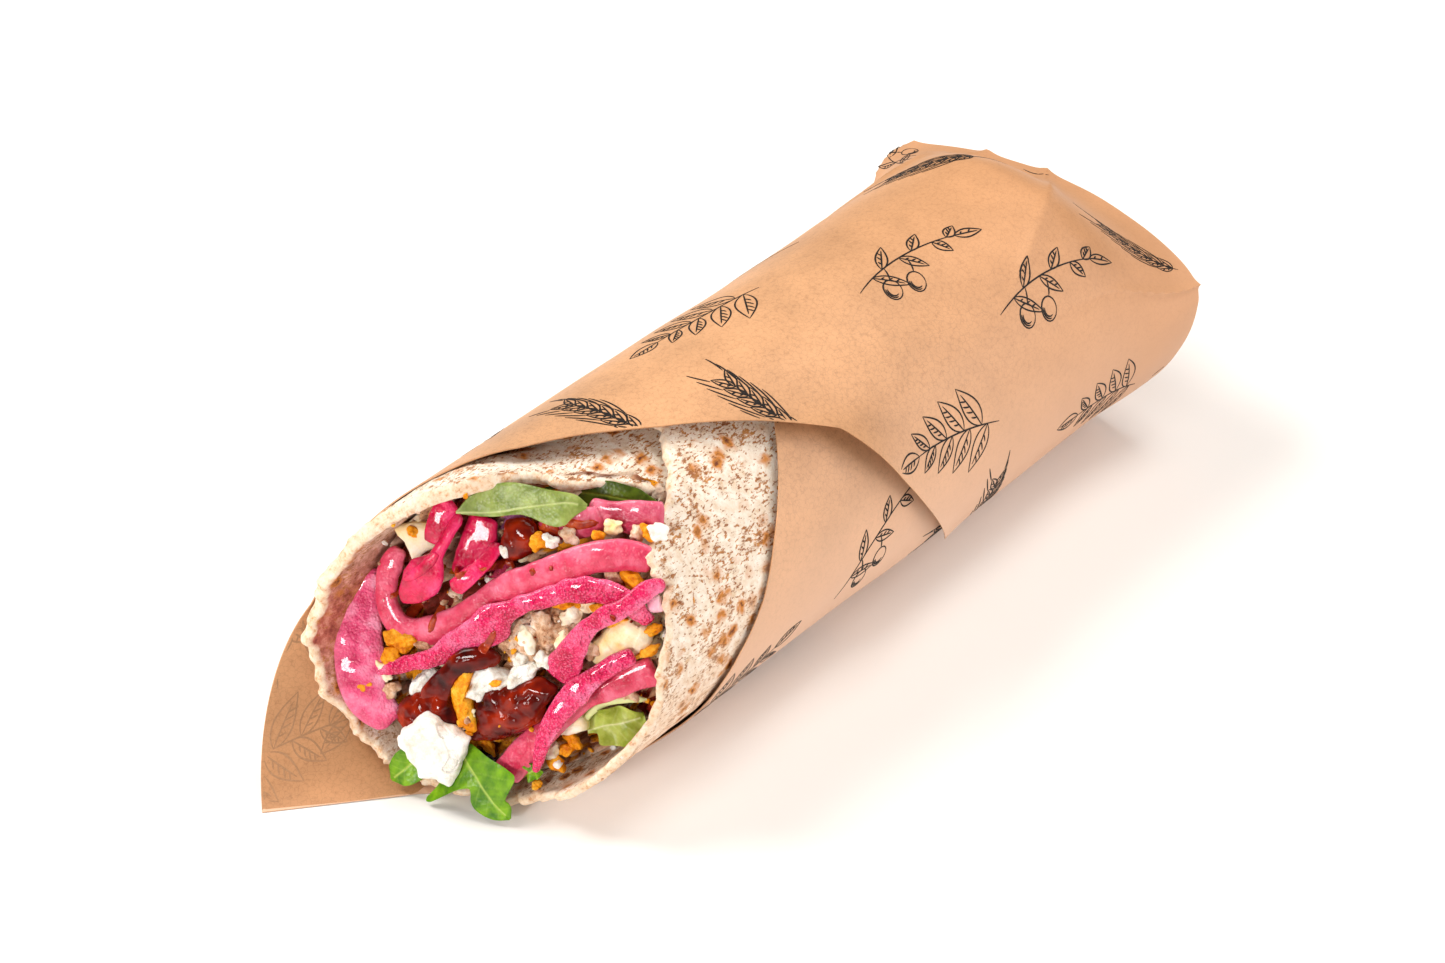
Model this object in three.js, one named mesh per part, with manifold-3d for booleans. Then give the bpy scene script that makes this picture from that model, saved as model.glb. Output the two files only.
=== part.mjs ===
// A falafel wrap lying on its side: a flatbread rolled round its filling, in a sheet of kraft paper.
// Millimetres, +Z up. The roll's axis runs along +X, with the open mouth at its -X end.
import * as THREE from "three";
import { mergeVertices } from "three/addons/utils/BufferGeometryUtils.js";
import Module from "manifold-3d";

const wasm = await Module();
wasm.setup();

const DEG = Math.PI / 180;

// The paper roll: its outer radius, how far its round underside is pressed flat, and where it ends.
const ROLL_RADIUS = 34.8;
const ROLL_SINK = 1.2;
const ROLL_MIDDLE = ROLL_RADIUS - ROLL_SINK; // the height of the roll's axis
const ROLL_END = 218;
const PAPER_THICK = 0.5;
const PAPER_STEP = 1.1; // from one layer of paper to the next, centre to centre
const PAPER_WOUND_STOP = 142; // the layers reach this far back, and the closed end begins a little before
const PAPER_END_START = 137;

// The folded end: where the roll starts to flatten, and how wide, how far over and how low it gets.
const FOLD_START = 184;
const FOLD_WIDEN = 9;
const FOLD_SHIFT = 5.6;
const FOLD_DROP = 20;
const FOLD_EARS = 3; // the flattened end's two side corners stand this much higher
const FOLD_SLANT = 12; // the end panel's upper fold is this far in front of its foot
const PANEL_Z = 26; // the height of the end panel's middle

// The paper's front edges: where round the sheet, as an arc from the roll's foot, and how far along X.
// The sheet's corner lies furthest forward, in front of the mouth.
const CORNER_ARC = 28.5;
const CORNER_X = -13.5;
const PAPER_EDGE = [
  [-109, 105], [-89, 88], [-51, 56], [-38, 44], [7, 13], [CORNER_ARC, CORNER_X],
  [55, 8], [99, 46], [116, 68], [137, 99], [153, 110], [185, 133],
];
const CORNER_UNROLL = 19.5; // the sheet's corner lies flat over this much more of its width
const UNROLL_END = 10;
const FLAP_LIFT = 1.6; // the outer layer's free edge stands this far off the layer under it
const FLAP_REACH = 9;

// The flatbread: its thickness, its winding and its torn front rim.
const BREAD_THICK = 2.4;
const BREAD_STEP = 2.9; // from one layer to the next, centre to centre
const BREAD_START = -50; // degrees from the top, growing towards +Y
const BREAD_STOP = 388;
const BREAD_WOUND_STOP = 154;
const BREAD_END_START = 148;
const BREAD_ROUND_START = 165;
const BREAD_END = 200;
const BREAD_ROUNDNESS = 2.2; // the power of the closed end's curve
const BREAD_ROUND_STATIONS = [BREAD_ROUND_START, 178, 188, 194.5];
const BREAD_FLOOR = 0.85;
const BREAD_FRONT = { y: 0.3, z: 34, radius: 32 };
const BREAD_BACK = { y: 1.25, z: 32.4, radius: 30.25 };
const BREAD_RIM = [
  [-50, 70], [-29, 61], [-8, 48.6], [12, 39.6], [22, 29], [45, 20], [75, 10.8], [97, 6], [122, 6.4],
  [150, 9.5], [180, 17], [227, 24.3], [245, 27], [252, 32.5], [258, 36], [282, 39], [303, 47.5],
  [308, 45], [316, 46.5], [323, 55.5], [337, 65], [388, 83],
];

// The mouth is a slanted oval: its middle, and how far it is turned sideways and tipped upwards.
const MOUTH_CENTRE = new THREE.Vector3(31, 0, 33.5);
const MOUTH_TURN = 21.8 * DEG;
const MOUTH_TIP = 17 * DEG;
const MOUTH_OUT = new THREE.Vector3(
  -Math.cos(MOUTH_TURN) * Math.cos(MOUTH_TIP),
  -Math.sin(MOUTH_TURN) * Math.cos(MOUTH_TIP),
  Math.sin(MOUTH_TIP),
);
const MOUTH_ACROSS = new THREE.Vector3(Math.sin(MOUTH_TURN), -Math.cos(MOUTH_TURN), 0);
const MOUTH_UP = new THREE.Vector3().crossVectors(MOUTH_OUT, MOUTH_ACROSS);

// The filling's face, as heights over the mouth's plane: [across, up, spread, height] of each swell or dip.
const FACE_BASE = -2.5;
const FACE_SWELLS = [
  [-8, -18, 9, 5.5], [0, 0, 12, 3], [20, -22, 9, -6], [19, 31, 11, -12], [-32, 0, 7, -4],
];
const FILLING_END = 196;

const GAP = 0.3; // left between pieces that touch
const SLIVER = 0.04; // points closer than this are drawn into one

// Where the part's origin stands in the frame that the sizes above use.
const ORIGIN = new THREE.Vector3(102.25, 5.6, 0);

const COLOUR = {
  paper: 0xd9a878,
  bread: 0xe8dfd0,
  filling: 0xd0a67a,
  onion: 0xdb3f7c,
  hotOnion: 0xc8024a,
  paleOnion: 0xe58fae,
  leaf: 0x5f9a2f,
  paleLeaf: 0xa9bf7c,
  feta: 0xf6f2ea,
  sauce: 0x7a1d0b,
  crust: 0xe08a1e,
  cream: 0xefe0a4,
  olive: 0x2e1822,
};

function matt(colour, roughness = 0.7) {
  return new THREE.MeshStandardMaterial({ color: colour, roughness, metalness: 0 });
}

const GLOSSY = 0.25;

// A number from 0 to 1 that rises smoothly from low to high.
function smoothStep(low, high, value) {
  return THREE.MathUtils.smoothstep(value, low, high);
}

// A value read off a list of [place, value] pairs along straight lines between them.
function readOff(pairs, place) {
  const next = pairs.findIndex((pair) => pair[0] >= place);
  if (next === 0) return pairs[0][1];
  if (next < 0) return pairs[pairs.length - 1][1];
  const [a, b] = [pairs[next - 1], pairs[next]];
  return THREE.MathUtils.mapLinear(place, a[0], b[0], a[1], b[1]);
}

// A repeatable row of numbers from 0 to 1.
function seeded(seed) {
  let state = seed;
  return () => {
    state = (state * 1664525 + 1013904223) % 4294967296;
    return state / 4294967296;
  };
}

// ---- Closed surfaces ----

function surface(points, faces) {
  const geometry = new THREE.BufferGeometry();
  geometry.setFromPoints(points);
  geometry.setIndex(faces);
  return geometry;
}

// A solid through closed rings of points, with a fan over the first ring and one over the last.
function loft(rings) {
  const count = rings[0].length;
  const points = rings.flat();
  const faces = [];
  for (let ring = 0; ring + 1 < rings.length; ring++) {
    for (let i = 0; i < count; i++) {
      const a = ring * count + i;
      const b = ring * count + ((i + 1) % count);
      faces.push(a, b, b + count, a, b + count, a + count);
    }
  }
  const middle = (ring) => ring.reduce((sum, p) => sum.add(p), new THREE.Vector3()).divideScalar(count);
  const first = points.push(middle(rings[0])) - 1;
  const last = points.push(middle(rings[rings.length - 1])) - 1;
  const lastRing = (rings.length - 1) * count;
  for (let i = 0; i < count; i++) {
    const j = (i + 1) % count;
    faces.push(first, j, i, last, lastRing + i, lastRing + j);
  }
  return surface(points, faces);
}

// A thin solid between two grids of points, whose faces are split alike. pointAt(column, row, side) has side
// 1 for one face and -1 for the other.
function slab(columns, rows, pointAt) {
  const points = [];
  const faces = [];
  for (const side of [1, -1]) {
    for (let row = 0; row <= rows; row++) {
      for (let column = 0; column <= columns; column++) points.push(pointAt(column, row, side));
    }
  }
  const wide = columns + 1;
  const under = wide * (rows + 1);
  const quad = (a, b, c, d) => faces.push(a, b, c, a, c, d);
  for (let row = 0; row < rows; row++) {
    for (let column = 0; column < columns; column++) {
      const a = row * wide + column;
      quad(a, a + 1, a + wide + 1, a + wide);
      faces.push(under + a, under + a + wide + 1, under + a + 1);
      faces.push(under + a, under + a + wide, under + a + wide + 1);
    }
  }
  for (let column = 0; column < columns; column++) {
    const far = rows * wide + column;
    quad(column + 1, column, column + under, column + under + 1);
    quad(far, far + 1, far + under + 1, far + under);
  }
  for (let row = 0; row < rows; row++) {
    const left = row * wide;
    const right = left + columns;
    quad(left, left + wide, left + wide + under, left + under);
    quad(right + wide, right, right + under, right + wide + under);
  }
  return surface(points, faces);
}

// A geometry as a solid that can be joined and cut, with its faces pointing out.
function solidOf(geometry) {
  const merged = mergeVertices(geometry, 1e-4);
  const vertProperties = merged.attributes.position.array;
  const triVerts = new Uint32Array(merged.index.array);
  const make = () => new wasm.Manifold(new wasm.Mesh({ numProp: 3, vertProperties, triVerts }));
  const made = make();
  if (made.volume() > 0) return made;
  for (let i = 0; i < triVerts.length; i += 3) {
    [triVerts[i + 1], triVerts[i + 2]] = [triVerts[i + 2], triVerts[i + 1]];
  }
  return make();
}

// The largest body of a solid: what a cut leaves over as scraps is dropped.
function largest(solid) {
  return solid.decompose().reduce((most, body) => (body.volume() > most.volume() ? body : most));
}

// ---- The paper sheet ----

const paperShift = (turn) => -PAPER_STEP * smoothStep(120, 235, turn);
const arcOf = (turn) => ROLL_RADIUS * (180 - turn) * DEG;
const turnOf = (arc) => 180 - arc / ROLL_RADIUS / DEG;

// A point of the paper roll. x is along it, turn is in degrees from the top towards +Y, shift is the
// layer's place and side its half thickness, both outwards.
function paperPoint(x, turn, shift, side) {
  const flat = smoothStep(FOLD_START, ROLL_END, x);
  const radius = ROLL_RADIUS + shift + side;
  const upper = Math.max(0, Math.cos(turn * DEG));
  let y = FOLD_SHIFT * flat + (radius + FOLD_WIDEN * flat) * Math.sin(turn * DEG);
  const ears = FOLD_EARS * Math.sin(turn * DEG) ** 4;
  let z = ROLL_MIDDLE + radius * Math.cos(turn * DEG) + flat * (ears - FOLD_DROP * upper);
  const loose = (CORNER_UNROLL * Math.max(0, UNROLL_END - x)) / (UNROLL_END - CORNER_X);
  if (loose > 0 && turn > 60 && turn < 240) {
    const arc = arcOf(turn);
    const bend = Math.max(0, arc - loose) / ROLL_RADIUS;
    y = Math.min(arc, loose) + radius * Math.sin(bend);
    z = ROLL_MIDDLE - radius * Math.cos(bend);
  }
  return new THREE.Vector3(x, y, Math.max(z, PAPER_THICK / 2 - side));
}

// The wound sheet, from its outer edge on the right, over the top, the left and the foot, and up again
// on the right inside itself. Its front is cut off along the two straight edges of the sheet's corner.
function woundPaper() {
  const outerColumns = 20;
  const innerColumns = 16;
  const rows = 8;
  const [innerArc, outerArc] = [PAPER_EDGE[0][0], PAPER_EDGE[PAPER_EDGE.length - 1][0]];
  return slab(outerColumns + innerColumns, rows, (column, row, side) => {
    const arc =
      column <= outerColumns
        ? THREE.MathUtils.lerp(outerArc, CORNER_ARC, column / outerColumns)
        : THREE.MathUtils.lerp(CORNER_ARC, innerArc, (column - outerColumns) / innerColumns);
    const turn = turnOf(arc);
    const edge = readOff(PAPER_EDGE, arc);
    const x = THREE.MathUtils.lerp(edge, PAPER_WOUND_STOP, (row / rows) ** 1.2);
    const free = 1 - smoothStep(-30, 0, turn);
    const lift = FLAP_LIFT * free * Math.exp(-(x - edge) / FLAP_REACH);
    return paperPoint(x, turn, paperShift(turn) + lift, (side * PAPER_THICK) / 2);
  });
}

// How far down the end panel's plane a point stands, from 0 at the upper fold to 1 at the foot.
const panelDrop = (turn) => (1 - Math.cos(turn * DEG)) / 2;

// The closed back of the paper: one wall, flattened and folded down at its end. Its inner face covers
// the layers' inner faces, and its last ring is drawn in towards the panel's middle and pressed inwards.
function paperEnd() {
  const columns = 28;
  const cover = 0.05;
  const panelThick = 2;
  const stations = [PAPER_END_START, FOLD_START, 194, 203, 211, ROLL_END];
  const ringAt = (x, side, behind) =>
    Array.from({ length: columns }, (_, i) => {
      const turn = (360 * i) / columns - 125;
      const layers = paperShift(turn) - PAPER_STEP * (1 - smoothStep(0, 25, turn));
      const half = PAPER_THICK / 2 + (behind > 0 ? 1 : 0);
      const slant = FOLD_SLANT * smoothStep(FOLD_START, ROLL_END, x) * panelDrop(turn);
      const p = side > 0 ? paperPoint(x, turn, cover, half) : paperPoint(x, turn, layers - cover, -half);
      return new THREE.Vector3(x - slant - behind, p.y, p.z);
    });
  const drawnIn = (ring, [share, push]) =>
    ring.map(({ x, y, z }) => {
      const towards = new THREE.Vector3(x, FOLD_SHIFT, PANEL_Z);
      const q = new THREE.Vector3(x, y, z).lerp(towards, share);
      q.x -= push + (0.15 * FOLD_SLANT * share * (PANEL_Z - q.z)) / PANEL_Z;
      return q;
    });
  const outer = stations.map((x) => ringAt(x, 1, 0));
  const inner = stations.map((x) => ringAt(x, -1, x === ROLL_END ? panelThick : 0));
  const [outerEnd, innerEnd] = [outer[outer.length - 1], inner[inner.length - 1]];
  const panel = [[0.15, 0.6], [0.5, 2.2], [0.85, 3]];
  const outerPanel = panel.map((step) => drawnIn(outerEnd, step)).reverse();
  const innerPanel = panel.map((step) => drawnIn(innerEnd, step));
  return loft([...outerPanel, ...outer.reverse(), ...inner, ...innerPanel]);
}

// ---- The flatbread ----

// How far a layer has climbed outwards, and how much of that shows inside before the inner layer starts.
const climb = (turn) => BREAD_STEP * smoothStep(200, 310, turn);
const climbInside = (turn, from, to) => climb(turn) * (1 - smoothStep(from, to, turn));

function breadCircle(x) {
  const back = smoothStep(30, 52, x);
  return {
    y: THREE.MathUtils.lerp(BREAD_FRONT.y, BREAD_BACK.y, back),
    z: THREE.MathUtils.lerp(BREAD_FRONT.z, BREAD_BACK.z, back),
    radius: THREE.MathUtils.lerp(BREAD_FRONT.radius, BREAD_BACK.radius, back),
  };
}

// How much of the closed end's width is left at a place along it.
function roundedEnd(x) {
  const along = Math.max(0, x - BREAD_ROUND_START) / (BREAD_END - BREAD_ROUND_START);
  return { along, shrink: (1 - along ** BREAD_ROUNDNESS) ** (1 / BREAD_ROUNDNESS) };
}

// A point at a distance from the flatbread's innermost layer, outwards, kept above a height.
function breadPoint(x, turn, shift, floor, shrink = 1) {
  const { y, z, radius } = breadCircle(x);
  const reach = (radius + shift) * shrink;
  return new THREE.Vector3(
    x,
    y + reach * Math.sin(turn * DEG),
    Math.max(z + reach * Math.cos(turn * DEG), floor),
  );
}

function woundBread() {
  const columns = 44;
  const rows = 5;
  return slab(columns, rows, (column, row, side) => {
    const turn = THREE.MathUtils.lerp(BREAD_START, BREAD_STOP, column / columns);
    const edge = readOff(BREAD_RIM, turn) + 0.5 * Math.sin(turn * 0.31) + 0.3 * Math.sin(turn * 0.83);
    const x = THREE.MathUtils.lerp(edge, BREAD_WOUND_STOP, (row / rows) ** 1.5);
    const half = (side * BREAD_THICK) / 2;
    return breadPoint(x, turn, climb(turn) + half, BREAD_FLOOR + BREAD_THICK / 2 - half);
  });
}

// The flatbread's closed back end, rounded over the filling.
function breadEnd() {
  const columns = 28;
  const cover = 0.02;
  const ringAt = (x, side) =>
    Array.from({ length: columns }, (_, i) => {
      const turn = BREAD_START + 30 + (360 * i) / columns;
      const { along, shrink } = roundedEnd(x);
      const long = BREAD_END - BREAD_ROUND_START - (side < 0 ? BREAD_THICK : 0);
      const layers = turn > 45 ? climb(turn) : BREAD_STEP * (1 - smoothStep(15, 45, turn));
      const half = BREAD_THICK / 2 + cover;
      const p =
        side > 0
          ? breadPoint(x, turn, layers + half, BREAD_FLOOR, shrink)
          : breadPoint(x, turn, -half, BREAD_FLOOR + BREAD_THICK, shrink);
      p.x = x < BREAD_ROUND_START ? x : BREAD_ROUND_START + along * long;
      return p;
    });
  const stations = [BREAD_END_START, ...BREAD_ROUND_STATIONS];
  const outer = stations.map((x) => ringAt(x, 1));
  const inner = stations.map((x) => ringAt(x, -1));
  return loft([...outer.reverse(), ...inner]);
}

// ---- The filling's core ----

function mouthPoint([across, up, out]) {
  return MOUTH_CENTRE.clone()
    .addScaledVector(MOUTH_ACROSS, across)
    .addScaledVector(MOUTH_UP, up)
    .addScaledVector(MOUTH_OUT, out);
}

// How far the filling's face stands out of the mouth's plane, with its crumbs as small bumps.
function faceHeight(across, up) {
  const swell = FACE_SWELLS.reduce(
    (sum, [u, v, spread, height]) =>
      sum + height * Math.exp(-((across - u) ** 2 + (up - v) ** 2) / (2 * spread * spread)),
    FACE_BASE,
  );
  const crumb = Math.sin(across * 0.9 + 1.3 * Math.sin(up * 0.5)) * Math.sin(up * 0.83 + 0.7);
  return swell + 0.7 * crumb;
}

// A point of the filling's face over a place in the roll's cross-section.
function facePoint(y, z) {
  const flat = new THREE.Vector3(0, y, z).sub(MOUTH_CENTRE);
  const x = -(flat.y * MOUTH_OUT.y + flat.z * MOUTH_OUT.z) / MOUTH_OUT.x;
  const onPlane = new THREE.Vector3(x, flat.y, flat.z);
  const height = faceHeight(onPlane.dot(MOUTH_ACROSS), onPlane.dot(MOUTH_UP));
  return new THREE.Vector3(MOUTH_CENTRE.x + x + height / MOUTH_OUT.x, y, z);
}

// The falafel, egg and crumbs that fill the roll: a lumpy slanted face in front, a round end at the back.
function coreBody() {
  const columns = 32;
  const extra = 0.1;
  const inside = -BREAD_THICK / 2 - GAP - extra;
  const floor = BREAD_FLOOR + BREAD_THICK + GAP + extra;
  const turns = Array.from({ length: columns }, (_, i) => (360 * i) / columns);
  const shiftAt = (turn) => inside + climbInside(turn, 292, 308);
  const rim = turns.map((turn) => {
    const guess = breadPoint(MOUTH_CENTRE.x, turn, shiftAt(turn), floor);
    return facePoint(guess.y, guess.z);
  });
  const { y: midY, z: midZ } = BREAD_FRONT;
  const face = [0.12, 0.28, 0.44, 0.6, 0.76, 0.91].map((share) =>
    rim.map((p) => facePoint(midY + (p.y - midY) * share, midZ + (p.z - midZ) * share)),
  );
  const edge = rim.map((p, i) => breadPoint(p.x + 1, turns[i], shiftAt(turns[i]), floor));
  const backRing = (x) => {
    const { along, shrink } = roundedEnd(x);
    return turns.map((turn) => {
      const p = breadPoint(x, turn, x < BREAD_ROUND_START ? shiftAt(turn) : inside, floor, shrink);
      p.x = x < BREAD_ROUND_START ? x : BREAD_ROUND_START + along * (FILLING_END - BREAD_ROUND_START);
      return p;
    });
  };
  return loft([...face, edge, ...[70, 140, ...BREAD_ROUND_STATIONS].map(backRing)]);
}

// ---- Pieces of food ----

// A lump of food: a rounded form whose sides are cut flat here and there. size is its half lengths across,
// up and out of the mouth.
function lump({ at, size, turn = 0, seed = 1, cuts = 9, detail = 1 }, grow = 0) {
  const random = seeded(seed);
  const planes = Array.from({ length: cuts }, () => ({
    towards: new THREE.Vector3(random() - 0.5, random() - 0.5, random() - 0.5).normalize(),
    reach: 0.7 + 0.2 * random(),
  }));
  const geometry = mergeVertices(bare(new THREE.IcosahedronGeometry(1, detail)));
  const centre = mouthPoint(at);
  const across = MOUTH_ACROSS.clone().applyAxisAngle(MOUTH_OUT, turn * DEG);
  const up = MOUTH_UP.clone().applyAxisAngle(MOUTH_OUT, turn * DEG);
  const points = [];
  const direction = new THREE.Vector3();
  for (let i = 0; i < geometry.attributes.position.count; i++) {
    direction.fromBufferAttribute(geometry.attributes.position, i).normalize();
    const cut = planes.reduce((least, plane) => {
      const facing = direction.dot(plane.towards);
      return facing > 0.2 ? Math.min(least, plane.reach / facing) : least;
    }, 1);
    const unevenness = Math.sin(4 * direction.x + seed) * Math.sin(5 * direction.y + 2 * seed);
    const reach = cut * (1 + 0.13 * unevenness);
    points.push(
      centre
        .clone()
        .addScaledVector(across, direction.x * (size[0] * reach + grow))
        .addScaledVector(up, direction.y * (size[1] * reach + grow))
        .addScaledVector(MOUTH_OUT, direction.z * (size[2] * reach + grow)),
    );
  }
  return surface(points, Array.from(geometry.index.array));
}

function bare(geometry) {
  geometry.deleteAttribute("normal");
  geometry.deleteAttribute("uv");
  return geometry;
}

// A strip of onion along a smooth path of [across, up, out] points. Its flat side faces out of the mouth,
// leaning by lean degrees; its width runs through the values of widths.
function strip({ path, widths, thick, lean = [0], segments = 12 }, grow = 0) {
  const curve = new THREE.CatmullRomCurve3(path.map(mouthPoint), false, "centripetal");
  const along = (values, t) => {
    const pairs = values.map((value, i) => [values.length > 1 ? i / (values.length - 1) : 0, value]);
    return readOff(pairs, t);
  };
  const outline = [
    [-0.5, 0], [-0.38, 0.42], [0, 0.5], [0.38, 0.42], [0.5, 0], [0.38, -0.42], [0, -0.5], [-0.38, -0.42],
  ];
  const rings = [];
  for (let i = 0; i <= segments; i++) {
    const t = i / segments;
    const centre = curve.getPointAt(t);
    const tangent = curve.getTangentAt(t);
    const wide = new THREE.Vector3().crossVectors(MOUTH_OUT, tangent).normalize();
    wide.applyAxisAngle(tangent, along(lean, t) * DEG);
    const high = new THREE.Vector3().crossVectors(tangent, wide);
    const end = Math.min(1, 0.55 + 6 * Math.min(t, 1 - t));
    const ends = i === 0 ? -grow : i === segments ? grow : 0;
    rings.push(
      outline.map(([a, b]) =>
        centre
          .clone()
          .addScaledVector(tangent, ends)
          .addScaledVector(wide, a * (along(widths, t) * end + 2 * grow))
          .addScaledVector(high, b * (thick * end + 2 * grow)),
      ),
    );
  }
  return loft(rings);
}

// A thin wavy leaf along a midrib. halves are its half widths from stalk to tip, cup bends its sides
// forwards, wave and ripples crinkle it, and lean turns it about the midrib.
function leaf({ path, halves, cup = 0.2, wave = 0.7, ripples = 3, lean = 0, segments = 12 }, grow = 0) {
  const curve = new THREE.CatmullRomCurve3(path.map(mouthPoint), false, "centripetal");
  const thick = 0.6;
  const columns = 4;
  const pairs = halves.map((half, i) => [i / (halves.length - 1), half]);
  return slab(columns, segments, (column, row, side) => {
    const t = row / segments;
    const tangent = curve.getTangentAt(t);
    const wide = new THREE.Vector3().crossVectors(MOUTH_OUT, tangent).normalize();
    wide.applyAxisAngle(tangent, lean * DEG);
    const high = new THREE.Vector3().crossVectors(tangent, wide);
    const across = (2 * column) / columns - 1;
    const half = Math.max(0.5, readOff(pairs, t));
    const bend = cup * half * across * across + wave * across * Math.sin(2 * Math.PI * ripples * t);
    return curve
      .getPointAt(t)
      .addScaledVector(wide, across * (half + grow))
      .addScaledVector(high, bend + side * (thick / 2 + grow));
  });
}

// ---- What shows in the mouth, from the front of the heap to its back ----

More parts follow.
